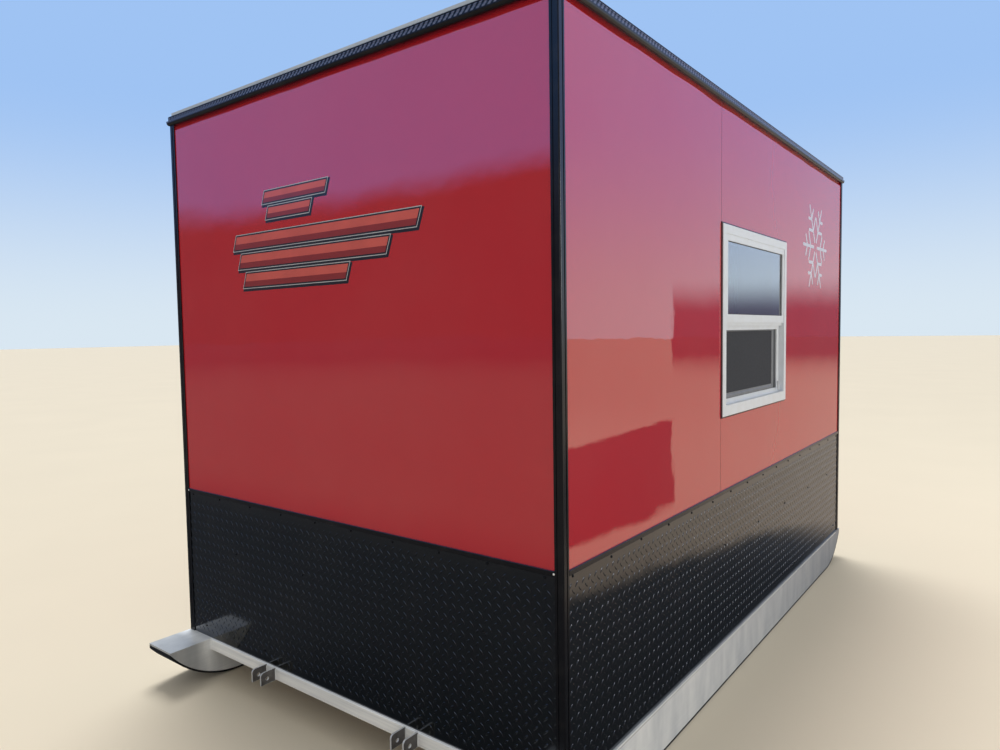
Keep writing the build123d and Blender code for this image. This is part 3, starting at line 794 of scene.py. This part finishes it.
class HUT_OT_tread_pattern(bpy.types.Operator):
    """Raises the lozenges of the tread plate on the walls and the door"""
    bl_idname = "hut.tread_pattern"
    bl_label = "Tread pattern"

    def execute(self, context):
        settings = context.scene.hut_tread
        along, up = settings.pitch_along, settings.pitch_up
        tree, one = lozenge_tree(), one_lozenge(settings)
        # A lozenge of the first set stands here, in wall coordinates
        lattice_x, lattice_y = 0.7287, 0.795
        plain_edge = 10 * MM
        for name, wall, x0, x1, y0, y1, z in tread_fields():
            # The second set reaches half a pitch further, so the first one ends earlier
            first_x, columns = lattice_span(lattice_x, along, x0 + plain_edge,
                                            x1 - plain_edge - along / 2)
            first_y, rows = lattice_span(lattice_y, up, y0 + plain_edge,
                                         y1 - plain_edge - up / 2)
            mesh = grown(name, tree, {
                "Lozenge": one, "Columns": columns, "Rows": rows, "Pitch along": along,
                "Pitch up": up, "Slope": settings.lozenge_angle,
                "First": (first_x, first_y, z), "Finish": made(rubbed_lozenge)})
            mesh.transform(wall_matrix(wall))
            settled(name, mesh, rubbed_lozenge)
        bpy.data.objects.remove(one)
        return {"FINISHED"}


def one_screw_head(settings):
    """One washer head screw as an object for the tree."""
    bm = bmesh.new()
    turned_head(bm, settings.head_diameter / 2, settings.head_height, 0.3 * MM,
                ((1, 0.25), (0.72, 0.38), (0.62, 0.8), (0.38, 1), (0.2, 0.7), (0, 0.7)), 10)
    return bpy.data.objects.new("one_screw_head", mesh_of(bm, "one_screw_head"))


def screw_places(wall):
    """Places of the screws in a wall's tread plate, in three rows: along the top, on the studs
    and along the foot. There are none in the rear door."""
    low, high = box_on_wall(wall, f"{wall}_tread_plate")
    places = []
    for start, end, spacing, height in (
            (58 * MM, 58 * MM, 218 * MM, high.y - 16 * MM),
            (380 * MM, 300 * MM, 420 * MM, low.y + 410 * MM),
            (118 * MM, 118 * MM, 218 * MM, low.y + 46 * MM)):
        first, last = low.x + start, high.x - end
        gaps = max(1, round((last - first) / spacing))
        places += [(first + (last - first) * i / gaps, height, 0.0) for i in range(gaps + 1)]
    door_low, door_high = box_on_wall("rear", "door_frame")
    clear = 30 * MM
    return [(x, y, z) for x, y, z in places
            if wall != "rear" or not door_low.x - clear < x < door_high.x + clear]


class HUT_OT_plate_screws(bpy.types.Operator):
    """Sets the black screws in the tread plate"""
    bl_idname = "hut.plate_screws"
    bl_label = "Plate screws"

    def execute(self, context):
        settings = context.scene.hut_screws
        tree, head = screw_tree(), one_screw_head(settings)
        for number, wall in enumerate(WALL_DIRECTIONS):
            points = bpy.data.meshes.new("screw_places")
            points.from_pydata(screw_places(wall), [], [])
            mesh = grown(f"{wall}_plate_screws", tree, {
                "Head": head, "Scatter": settings.scatter, "Seed": settings.seed + number,
                "Finish": made(powder_coat)}, points)
            mesh.transform(wall_matrix(wall))
            settled(f"{wall}_plate_screws", mesh, powder_coat)
        bpy.data.objects.remove(head)
        return {"FINISHED"}


# Section of a screen bar: share of its width, and millimetres below its face. A flat outer
# flange, a crowned face, and the spline groove next to the cloth
SCREEN_BAR = ((0, 2), (0.08, 0.3), (0.3, 0), (0.55, 0.4), (0.66, 2), (0.72, 3.2), (0.86, 2.4),
              (1, 3))


class HUT_OT_window_screens(bpy.types.Operator):
    """Makes the insect screens: mitred grey bars with cloth held in a groove"""
    bl_idname = "hut.window_screens"
    bl_label = "Window screens"

    def execute(self, context):
        bar = context.scene.hut_window.screen_bar
        top_share, channel, shade_strip_depth = 0.25, 40 * MM, 3 * MM
        inset, half_cloth = bar - 1.5 * MM, 0.4 * MM
        for wall in SIDE_WALLS:
            node = f"{wall}_insect_screen"
            place = wall_matrix(wall)
            low, high = box_on_wall(wall, node)
            # Painted shade: a dark grey strip stands between the screen and the rear jamb, where
            # the jamb's shade falls
            left, right = low.x, high.x
            if wall == "right":
                right -= channel
                shade_strip_low, shade_strip_high = right, high.x
            else:
                left += channel
                shade_strip_low, shade_strip_high = low.x, left
            bm = bmesh.new()
            block(bm, (shade_strip_low, low.y, low.z), (shade_strip_high, high.y, high.z - shade_strip_depth))
            strip = finished(f"{wall}_screen_channel", bm, screen_painted_shade, place,
                             smooth=False)
            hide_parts(node)
            bm = bmesh.new()
            section = [(share * bar, high.z - depth * MM) for share, depth in SCREEN_BAR]
            mitred_frame(bm, (left, low.y), (right, high.y),
                         [(0, low.z), *section, (bar, low.z)], top_share)
            frame_piece = finished(f"{wall}_screen_bars", bm, screen_bar_enamel,
                                   place)
            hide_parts(node)
            bm = bmesh.new()
            middle = (low.z + high.z) / 2
            block(bm, (left + inset, low.y + inset, middle - half_cloth),
                  (right - inset, high.y - top_share * inset, middle + half_cloth))
            cloth = finished(f"{wall}_screen_cloth", bm, screen_cloth, place,
                             smooth=False)
            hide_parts(node)
        return {"FINISHED"}


class HUT_OT_window_trimmings(bpy.types.Operator):
    """Adds the rubber round the upper pane, the sealant round the casing and the sash clips"""
    bl_idname = "hut.window_trimmings"
    bl_label = "Window trimmings"

    def execute(self, context):
        settings = context.scene.hut_window
        width, bead, clip = settings.gasket, settings.sealant, settings.clip_height
        # The upper light lies this far inside the casing, and its rubber is this proud
        jamb, head, lower_part, rise = 61 * MM, 64 * MM, 423 * MM, 1.6 * MM
        for wall in SIDE_WALLS:
            place = wall_matrix(wall)
            low, high = box_on_wall(wall, f"{wall}_window_frame")
            glass = box_on_wall(wall, f"{wall}_window_glass")[1].z
            bm = bmesh.new()
            mitred_frame(bm, (low.x + jamb, low.y + lower_part), (high.x - jamb, high.y - head),
                         ((-0.5 * MM, glass - 0.5 * MM), (-0.5 * MM, glass + rise),
                          (0.6 * width, glass + rise), (width, glass + 0.4 * rise),
                          (width, glass - 0.5 * MM)))
            finished(f"{wall}_pane_gasket", bm, black_rubber_and_painted_shade, place)
            bm = bmesh.new()
            mitred_frame(bm, low, high, ((1 * MM, -0.3 * MM), (1 * MM, 0.8 * bead),
                                         (-0.45 * bead, 0.5 * bead),
                                         (-0.9 * bead, 0.16 * bead), (-bead, -0.3 * MM)))
            finished(f"{wall}_casing_sealant", bm, joint_sealant, place)
            # The clip stands in the reveal beside the lower light's rear corner
            jamb_side, rear = (high.x, 1) if wall == "right" else (low.x, -1)
            reveal, thickness = jamb_side - rear * 81 * MM, 9 * MM
            x0, x1 = sorted((reveal, reveal - rear * thickness))
            foot, depth = low.y + 55 * MM, high.z - 8 * MM
            bm = bmesh.new()
            block(bm, (x0, foot, depth - thickness), (x1, foot + clip, depth), 1.2 * MM)
            block(bm, (x0 + 2 * MM, foot + 0.62 * clip, depth - 1 * MM),
                  (x1 - 2 * MM, foot + 0.86 * clip, depth + 5 * MM), 0.8 * MM)
            finished(f"{wall}_sash_clip", bm, weathered_vinyl, place)
        return {"FINISHED"}


def grown_outline(outline, margin):
    """A convex outline moved outwards by a margin, corner by corner."""
    middle = Vector((sum(x for x, _ in outline), sum(y for _, y in outline))) / len(outline)
    result = []
    for i, here in enumerate(map(Vector, outline)):
        before, after = Vector(outline[i - 1]), Vector(outline[(i + 1) % len(outline)])
        normals = []
        for a, b in ((before, here), (here, after)):
            edge = (b - a).normalized()
            normal = Vector((edge.y, -edge.x))
            if normal.dot(middle - a) > 0:
                normal.negate()
            normals.append(normal)
        corner = (normals[0] + normals[1]).normalized()
        result.append(tuple(here + corner * (margin / corner.dot(normals[0]))))
    return result


class HUT_OT_front_stripes(bpy.types.Operator):
    """Lays plain slanted stripes of film on the front wall"""
    bl_idname = "hut.front_stripes"
    bl_label = "Front stripes"

    def execute(self, context):
        slant = 0.36
        # Two groups of bars, each bar lower, further right and shorter than the one above
        bars = []
        for top, start, width, drop, shift, lengths in (
                (1.888, -0.545, 0.050, 0.074, 0.03, (1.000, 0.830, 0.600)),
                (2.040, -0.345, 0.038, 0.060, 0.02, (0.360, 0.250))):
            for k, length in enumerate(lengths):
                bars.append((start + k * shift, start + k * shift + length,
                             top - k * drop - width, width))
        for name, finish, margin, (dx, dy), height, share in (
                ("front_stripe_shades", slate_film, 11 * MM, (6 * MM, -7 * MM), 0.2 * MM, 1.0),
                ("front_stripe_edges", pale_film, 8 * MM, (0.0, 0.0), 0.3 * MM, 1.0),
                ("front_stripe_outlines", slate_film, 5 * MM, (0.0, 0.0), 0.4 * MM, 1.0),
                ("front_stripe_fills", coral_film, 0.0, (0.0, 0.0), 0.5 * MM, 1.0),
                ("front_stripe_feet", brick_film, 0.0, (0.0, 0.0), 0.6 * MM, 0.42)):
            bm = bmesh.new()
            for x0, x1, y, width in bars:
                lean, top = share * width * slant, y + share * width
                outline = ((x0, y), (x1, y), (x1 + lean, top), (x0 + lean, top))
                prism(bm, [(x + dx, y + dy) for x, y in grown_outline(outline, margin)],
                      -0.1 * MM, height)
            finished(name, bm, finish, wall_matrix("front"), smooth=False)
        return {"FINISHED"}


class HUT_OT_side_snowflakes(bpy.types.Operator):
    """Lays a plain snowflake of pale film on each side wall"""
    bl_idname = "hut.side_snowflakes"
    bl_label = "Side snowflakes"

    def execute(self, context):
        reach, half_line, height = 0.255, 8.5 * MM, 0.4 * MM
        behind_origin, over_ice = 1.115, 1.95
        # Strokes of one arm that points along x: the stem, then two pairs of twigs at 60 degrees
        strokes = [((0.03, 0.0), (reach, 0.0))]
        for place, length in ((0.40 * reach, 0.34 * reach), (0.68 * reach, 0.25 * reach)):
            for side in (-1, 1):
                strokes.append(((place, 0.0), (place + length * cos(pi / 3),
                                               side * length * sin(pi / 3))))
        from_middle = behind_origin - wall_matrix("right").translation.y
        for wall, sign in zip(SIDE_WALLS, (1, -1)):
            middle = Matrix.Translation((sign * from_middle, over_ice, 0))
            bm = bmesh.new()
            for arm in range(6):
                turn = middle @ Matrix.Rotation(arm * pi / 3, 4, "Z")
                # Strokes that cross differ a little in height, so that no faces coincide
                for number, (start, end) in enumerate(strokes):
                    start, end = Vector(start), Vector(end)
                    along = (end - start).normalized() * half_line
                    across = Vector((-along.y, along.x))
                    outline = (start + across, start - across, end - across, end + along,
                               end + across)
                    prism(bm, [(turn @ corner.to_3d()).xy for corner in outline], -0.1 * MM,
                          height + 0.05 * number * MM)
            finished(f"{wall}_snowflake", bm, silver_film, wall_matrix(wall),
                     smooth=False)
        return {"FINISHED"}


class HUT_OT_skin_joints(bpy.types.Operator):
    """Seals the upright joint between two sheets on each side wall"""
    bl_idname = "hut.skin_joints"
    bl_label = "Skin joints"

    def execute(self, context):
        joint_from_front, half_width, under_roof_edge = 1.2085, 0.65 * MM, 9 * MM
        for wall, sign in zip(SIDE_WALLS, (1, -1)):
            low, high = box_on_wall(wall, f"{wall}_upper_skin")
            x = sign * (joint_from_front - (high.x - low.x) / 2)
            bm = bmesh.new()
            block(bm, (x - half_width, low.y, -0.1 * MM),
                  (x + half_width, high.y - under_roof_edge, 0.3 * MM))
            finished(f"{wall}_skin_joint", bm, joint_sealant, wall_matrix(wall))
        return {"FINISHED"}


class HUT_OT_belt_rivets(bpy.types.Operator):
    """Sets a bright rivet in each end of the front and rear belt trims"""
    bl_idname = "hut.belt_rivets"
    bl_label = "Belt rivets"

    def execute(self, context):
        belt_height, from_end, from_door = 818 * MM, 28 * MM, 10 * MM
        radius, rise, sunk = 3.2 * MM, 1.5 * MM, 0.5 * MM
        door_low, door_high = box_on_wall("rear", "door_frame")
        at_door = [door_low.x - from_door, door_high.x + from_door]
        bm = bmesh.new()
        for wall, more in (("front", []), ("rear", at_door)):
            low, high = box_on_wall(wall, f"{wall}_upper_skin")
            face = box_on_wall(wall, "belt_trims")[1].z
            for x in [low.x + from_end, high.x - from_end] + more:
                head = bmesh.new()
                turned_head(head, radius, rise, sunk,
                            ((1, 0.3), (0.8, 0.75), (0.4, 1), (0, 1)), 16,
                            (x, belt_height, face))
                one = mesh_of(head, "one_rivet")
                one.transform(wall_matrix(wall))
                bm.from_mesh(one)
                bpy.data.meshes.remove(one)
        finished("belt_rivets", bm, bright_metal_and_painted_highlight)
        return {"FINISHED"}


class HUT_OT_door_fittings(bpy.types.Operator):
    """Fits the rear door's seal, its hinge screws and the key cylinder under the latch"""
    bl_idname = "hut.door_fittings"
    bl_label = "Door fittings"

    def execute(self, context):
        place = wall_matrix("rear")
        low, high = box_on_wall("rear", "entry_door")
        face = high.z
        bm = bmesh.new()
        mitred_frame(bm, low, high, ((-2.5 * MM, -1 * MM), (-2.5 * MM, 1.2 * MM),
                                     (1 * MM, 1.9 * MM), (5 * MM, 1.2 * MM), (5 * MM, -1 * MM)))
        finished("door_seal", bm, black_rubber_and_painted_shade, place)
        # Three hinges, three screws in each leaf
        hinge_low, hinge_high = box_on_wall("rear", "door_hinges")
        knuckle = (hinge_low.x + hinge_high.x) / 2
        half_hinge, from_knuckle, spacing, leaf = 45 * MM, 14 * MM, 30 * MM, 2.5 * MM
        to_door = -from_knuckle if knuckle > 0 else from_knuckle
        frame_face = box_on_wall("rear", "door_frame")[1].z
        first, last = hinge_low.y + half_hinge, hinge_high.y - half_hinge
        radius, rise, sunk = 3.4 * MM, 1.1 * MM, 0.5 * MM
        bm = bmesh.new()
        for middle in (first, (first + last) / 2, last):
            for y in (middle - spacing, middle, middle + spacing):
                for x, leaf_foot in ((knuckle + to_door, face), (knuckle - to_door, frame_face)):
                    turned_head(bm, radius, rise, sunk, ((1, 0.2), (0.6, 0.8), (0, 1)), 12,
                                (x, y, leaf_foot + leaf))
        finished("hinge_screws", bm, bright_metal_and_painted_highlight, place)
        latch_low, latch_high = box_on_wall("rear", "door_latch")
        under_latch, radius, rise, sunk = 32 * MM, 11 * MM, 4 * MM, 1 * MM
        x, y = (latch_low.x + latch_high.x) / 2, latch_low.y - under_latch
        bm = bmesh.new()
        turned_head(bm, radius, rise, sunk, ((1, 0.4), (0.85, 1), (0.6, 1), (0.52, 0.7),
                                             (0, 0.7)), 24, (x, y, face))
        finished("key_cylinder", bm, bright_metal_and_painted_highlight, place)
        # Painted shade: a thin black strip on the cylinder's face stands for the dark keyway
        bm = bmesh.new()
        block(bm, (x - 0.8 * MM, y - 4 * MM, face + 0.5 * rise),
              (x + 0.8 * MM, y + 4 * MM, face + 0.72 * rise))
        finished("key_slot", bm, black_rubber_and_painted_shade, place)
        return {"FINISHED"}


class HUT_OT_hitch_faces(bpy.types.Operator):
    """Darkens the flats of the hitch ears with painted shade and leaves their cut edges and holes
    bright
    """
    bl_idname = "hut.hitch_faces"
    bl_label = "Hitch ear flats"

    def execute(self, context):
        corner, edge, film, grid = 14 * MM, 0.9 * MM, 0.12 * MM, 6 * MM
        hole_radius, from_front, from_top = 6.75 * MM + edge, 28 * MM, 29 * MM
        bm = bmesh.new()
        for side in ("left", "right"):
            low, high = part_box(f"{side}_hitch_lug")
            centre = Vector((low.y + from_front, high.z - from_top))
            y0, y1, z0, z1 = low.y + edge, high.y, low.z + edge, high.z - edge
            outline = [Vector(spot) for spot in ((y0, z0), (y1, z0), (y1, z1))]
            outline += [Vector((y0 + corner - corner * sin(a), z1 - corner + corner * cos(a)))
                        for a in (0.5 * pi * i / 6 for i in range(7))]
            points = []
            for start, end in zip(outline, outline[1:] + outline[:1]):
                steps = max(1, round((end - start).length / grid))
                points += [start + (end - start) * k / steps for k in range(steps)]
            # Painted shade: thin dark films on both flats of each ear
            for x, out in ((low.x, -1), (low.x + EAR_THICKNESS, 1),
                           (high.x - EAR_THICKNESS, -1), (high.x, 1)):
                rings = []
                for point in points:
                    rim = centre + (point - centre).normalized() * hole_radius
                    rings.append([(x + out * d, p.x, p.y) for d, p in (
                        (-film, rim), (film, rim), (film, point), (-film, point))])
                rings_to_skin(bm, rings, closed=True)
        finished("hitch_ear_flats", bm, painted_shade_plate, smooth=False)
        return {"FINISHED"}


class HUT_OT_runner_seams(bpy.types.Operator):
    """Paints a highlight along the edge of each runner's top plate and a line of shade under it
    """
    bl_idname = "hut.runner_seams"
    bl_label = "Runner seams"

    def execute(self, context):
        from_tip, from_tail, below, width = 0.24, 0.1, 7 * MM, 1.6 * MM
        for side in ("left", "right"):
            low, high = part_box(f"{side}_runner")
            face, out = (high.x, 1) if side == "right" else (low.x, -1)
            x0, x1 = sorted((face - out * 1 * MM, face + out * 0.3 * MM))
            y0, y1 = low.y + from_tip, high.y - from_tail
            # Painted shade in a dark line 7 mm under the top, and a painted highlight in the
            # bright strip above it
            bm = bmesh.new()
            block(bm, (x0, y0, high.z - below - width), (x1, y1, high.z - below))
            finished(f"{side}_runner_seam", bm, painted_shade_plate)
            bm = bmesh.new()
            block(bm, (x0, y0, high.z - below), (x1, y1, high.z - 0.4 * MM), 0.2 * MM)
            finished(f"{side}_runner_edge", bm, bright_metal_and_painted_highlight)
        return {"FINISHED"}


class HUT_OT_hitch_welds(bpy.types.Operator):
    """Runs weld beads round the hitch ears and where tubes meet the runners"""
    bl_idname = "hut.hitch_welds"
    bl_label = "Hitch welds"

    def execute(self, context):
        tube_low, tube_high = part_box("front_cross_tube")
        bm = bmesh.new()
        for side in ("left", "right"):
            low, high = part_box(f"{side}_hitch_lug")
            for x in (low.x, low.x + EAR_THICKNESS, high.x - EAR_THICKNESS, high.x):
                weld_bead(bm, (x, tube_low.y, low.z + 1 * MM), (x, tube_low.y, high.z - 6 * MM),
                          2.6 * MM, up=(0, 1, 0))
        # Beads at the tube's ends stop short of its rounded corners
        inner, sunk, radius = 5 * MM, 0.5 * MM, 3.2 * MM
        y, z = tube_low.y + sunk, tube_low.z + sunk
        for x in (tube_low.x, tube_high.x):
            weld_bead(bm, (x, y, tube_low.z + inner), (x, y, tube_high.z - inner), radius,
                      up=(0, 1, 0))
            weld_bead(bm, (x, tube_low.y + inner, z), (x, tube_high.y - inner, z), radius)
        finished("hitch_welds", bm, runner_plate)
        return {"FINISHED"}


class HUT_OT_stage(bpy.types.Operator):
    """Makes the camera, the lamps, the background and the pale floor"""
    bl_idname = "hut.stage"
    bl_label = "Stage"

    def execute(self, context):
        settings = context.scene.hut_stage
        make_camera(settings)
        make_floor()
        make_background(settings)
        # Two low lamps light the walls, and a high one the floor with the hut's shadow on it
        for name, kind, look, place, aim in (
                ("lamp_front", "AREA", {"shape": "RECTANGLE", "size": 3.0, "size_y": 2.0,
                                        "energy": settings.front_power},
                 (0.8, -9.5, 2.6), (0.0, -1.5, 1.3)),
                ("lamp_right", "AREA", {"shape": "RECTANGLE", "size": 3.0, "size_y": 2.0,
                                        "energy": settings.side_power},
                 (9.5, 3.0, 2.8), (1.0, 0.6, 1.3)),
                ("lamp_top", "SUN", {"energy": settings.top_strength, "angle": radians(28)},
                 (0.0, 0.0, 0.0), (2.8, -2.4, -11.0))):
            light = bpy.data.lights.new(name, kind)
            for key, value in look.items():
                setattr(light, key, value)
            lamp = linked(bpy.data.objects.new(name, light))
            lamp.location = place
            turn = (Vector(aim) - Vector(place)).to_track_quat("-Z", "Y")
            lamp.rotation_euler = turn.to_euler()
        context.scene.view_settings.view_transform = "Standard"
        return {"FINISHED"}


def make_camera(settings):
    """Camera where the hut was looked at from, beside its front right corner."""
    place = Vector((2.036, -3.226, 1.497))
    heading, down, roll = radians(37.373), radians(3.45), radians(-0.851)
    ahead = Vector((-sin(heading), cos(heading), 0.0))
    right = Vector((cos(heading), sin(heading), 0.0))
    up = Vector((0.0, 0.0, 1.0))
    view = ahead * cos(down) - up * sin(down)
    view_up = ahead * sin(down) + up * cos(down)
    local_x = right * cos(roll) + view_up * sin(roll)
    local_y = view_up * cos(roll) - right * sin(roll)
    data = bpy.data.cameras.new("camera")
    data.lens, data.sensor_width = settings.focal_length, 36.0
    camera = linked(bpy.data.objects.new("camera", data))
    camera.matrix_world = Matrix.Translation(place) @ Matrix(
        (local_x, local_y, -view)).transposed().to_4x4()
    bpy.context.scene.camera = camera


def pale_floor(tree, place):
    """Plain pale floor. Gloss alone sees it darker, with painted shade: darkest beside the hut,
    where the hut's shade lies, in a patch further off, and again far away."""
    settings = bpy.context.scene.hut_stage
    tone = add(tree, "ShaderNodeTexNoise", {"Vector": place, "Scale": 0.8, "Detail": 4.0})
    x, y, _ = add(tree, "ShaderNodeSeparateXYZ", {0: place}).outputs
    reach = add(tree, "ShaderNodeVectorMath", {0: place}, operation="LENGTH")
    # Lines on the floor: the shade's wavering edge, the same aslant, and the slanted line that
    # the open way to the right starts from
    waver = add(tree, "ShaderNodeMath", {0: tone, 1: 0.5, 2: x}, operation="MULTIPLY_ADD")
    beside = add(tree, "ShaderNodeMath", {0: y, 1: 0.31, 2: waver}, operation="MULTIPLY_ADD")
    aslant = add(tree, "ShaderNodeMath", {0: x, 1: -2.28, 2: y}, operation="MULTIPLY_ADD")
    lit, past, way, patch_start, patch_end, ahead, in_front, distant = (
        add(tree, "ShaderNodeMapRange", {"Value": value, "From Min": start, "From Max": end},
            interpolation_type="SMOOTHSTEP")
        for value, start, end in (
            (beside, 2.25, 2.45), (y, 1.8, 2.8), (aslant, -3.14, -3.04), (waver, 2.65, 2.8),
            (waver, 5.15, 4.95), (y, -3.0, -4.5), (y, -1.4, -1.8), (reach, 15.0, 45.0)))
    started = add(tree, "ShaderNodeMath", {0: patch_start, 1: way}, operation="SUBTRACT",
                  use_clamp=True)
    patch = add(tree, "ShaderNodeMath", {0: started, 1: patch_end}, operation="MULTIPLY")
    open_way = add(tree, "ShaderNodeMath", {0: way, 1: in_front}, operation="MAXIMUM")
    far = add(tree, "ShaderNodeMath", {0: distant, 1: open_way}, operation="MULTIPLY")
    tones = {"floor": settings.floor_colour, "dull": darkened(settings.floor_colour, 0.94),
             "bright": settings.mirrored_floor, "shade": settings.mirrored_shade,
             "patch": settings.mirrored_patch}
    for name, share, first, second in (
            ("plain", tone, "dull", "floor"), ("side", lit, "shade", "bright"),
            ("side", past, "side", "bright"), ("side", patch, "side", "patch"),
            ("dim", 0.8, "bright", "patch"), ("front", ahead, "shade", "dim"),
            ("gloss", in_front, "side", "front"), ("gloss", far, "gloss", "patch"),
            ("shown", add(tree, "ShaderNodeLightPath").outputs["Is Glossy Ray"], "plain",
             "gloss")):
        tones[name] = add(tree, "ShaderNodeMix", {0: share, 6: tones[first], 7: tones[second]},
                          data_type="RGBA")
    return {"Base Color": tones["shown"], "Roughness": 0.8}


def make_floor():
    """Wide floor."""
    reach = 120.0
    mesh = bpy.data.meshes.new("floor")
    mesh.from_pydata([(-reach, -reach, 0), (reach, -reach, 0), (reach, reach, 0),
                      (-reach, reach, 0)], [], [(0, 1, 2, 3)])
    mesh.materials.append(made(pale_floor))
    floor_piece = linked(bpy.data.objects.new("floor", mesh))


def make_background(settings):
    """Neutral light all round, and a pale sky that only the camera, gloss and glass see."""
    world = bpy.data.worlds.new("studio")
    bpy.context.scene.world = world
    world.use_nodes = True
    tree = world.node_tree
    tree.nodes.clear()
    direction = add(tree, "ShaderNodeTexCoord").outputs["Generated"]
    across, ahead, height = add(tree, "ShaderNodeSeparateXYZ", {0: direction}).outputs
    # The low backdrop in front ends along a line that rises to the right
    tilted = add(tree, "ShaderNodeMath", {0: across, 1: -0.27, 2: height},
                 operation="MULTIPLY_ADD")
    low, high, to_side, over_foot, past_corner, to_rear, over_band = (
        add(tree, "ShaderNodeMapRange", {"Value": value, "From Min": start, "From Max": end},
            interpolation_type="SMOOTHSTEP")
        for value, start, end in (
            (height, 0.0, 0.30), (height, 0.4, 0.95), (across, -0.05, 0.2),
            (height, 0.02, 0.07), (across, 0.398, 0.404), (ahead, -0.3, 0.2),
            (tilted, 0.36, 0.40)))
    beyond = add(tree, "ShaderNodeMath", {0: over_foot, 1: past_corner}, operation="MAXIMUM")
    rise = add(tree, "ShaderNodeMix", {0: to_rear, 2: over_band, 3: low})
    tones = {name: getattr(settings, name) for name in (
        "horizon", "mid_sky", "side_sky", "front_sky", "front_band", "side_band", "zenith")}
    for name, share, first, second in (
            ("foot", beyond, "side_band", "horizon"), ("foot", to_rear, "front_band", "foot"),
            ("above", to_side, "mid_sky", "side_sky"), ("above", to_rear, "front_sky", "above"),
            ("mirrored", rise, "foot", "above"), ("mirrored", high, "mirrored", "zenith"),
            ("plain", low, "horizon", "mid_sky")):
        tones[name] = add(tree, "ShaderNodeMix", {0: share, 6: tones[first], 7: tones[second]},
                          data_type="RGBA")
    even, in_gloss, seen = (
        add(tree, "ShaderNodeBackground", {"Color": colour, "Strength": strength})
        for colour, strength in (("#FFFFFF", settings.even_light), (tones["mirrored"], 1.0),
                                 (tones["plain"], 1.0)))
    rays = add(tree, "ShaderNodeLightPath").outputs
    bent = add(tree, "ShaderNodeMath", {0: rays["Is Glossy Ray"],
                                        1: rays["Is Transmission Ray"]}, operation="MAXIMUM")
    lit = add(tree, "ShaderNodeMixShader", {0: bent, 1: even, 2: in_gloss})
    mixed = add(tree, "ShaderNodeMixShader", {0: rays["Is Camera Ray"], 1: lit, 2: seen})
    add(tree, "ShaderNodeOutputWorld", {"Surface": mixed})


OPERATORS = (HUT_OT_finish_nodes, HUT_OT_tread_pattern, HUT_OT_plate_screws,
             HUT_OT_window_screens, HUT_OT_window_trimmings, HUT_OT_front_stripes,
             HUT_OT_side_snowflakes, HUT_OT_skin_joints, HUT_OT_belt_rivets,
             HUT_OT_door_fittings, HUT_OT_runner_seams, HUT_OT_hitch_faces, HUT_OT_hitch_welds,
             HUT_OT_stage)
SETTINGS = (("hut_colours", HutColours), ("hut_tread", TreadSettings),
            ("hut_screws", ScrewSettings), ("hut_window", WindowSettings),
            ("hut_stage", StageSettings))


class HUT_PT_panel(bpy.types.Panel):
    """Lists the hut's settings and the steps that dress it"""
    bl_idname = "HUT_PT_panel"
    bl_label = "Ice Fishing Hut"
    bl_space_type = "VIEW_3D"
    bl_region_type = "UI"
    bl_category = "Ice Hut"

    def draw(self, context):
        for name, group in SETTINGS:
            box = self.layout.box()
            box.label(text=group.__doc__)
            for setting in group.__annotations__:
                box.prop(getattr(context.scene, name), setting)
        for operator in OPERATORS:
            self.layout.operator(operator.bl_idname)


def register():
    """Adds the settings, operators and panel."""
    for name, group in SETTINGS:
        bpy.utils.register_class(group)
        setattr(bpy.types.Scene, name, PointerProperty(type=group))
    for operator in OPERATORS:
        bpy.utils.register_class(operator)
    bpy.utils.register_class(HUT_PT_panel)


def unregister():
    """Takes the panel, operators and settings away."""
    bpy.utils.unregister_class(HUT_PT_panel)
    for operator in reversed(OPERATORS):
        bpy.utils.unregister_class(operator)
    for name, group in reversed(SETTINGS):
        delattr(bpy.types.Scene, name)
        bpy.utils.unregister_class(group)


def main():
    """Dresses the hut and sets the stage."""
    register()
    for operator in OPERATORS:
        group, step = operator.bl_idname.split(".")
        getattr(getattr(bpy.ops, group), step)()


if __name__ == "__main__":
    main()
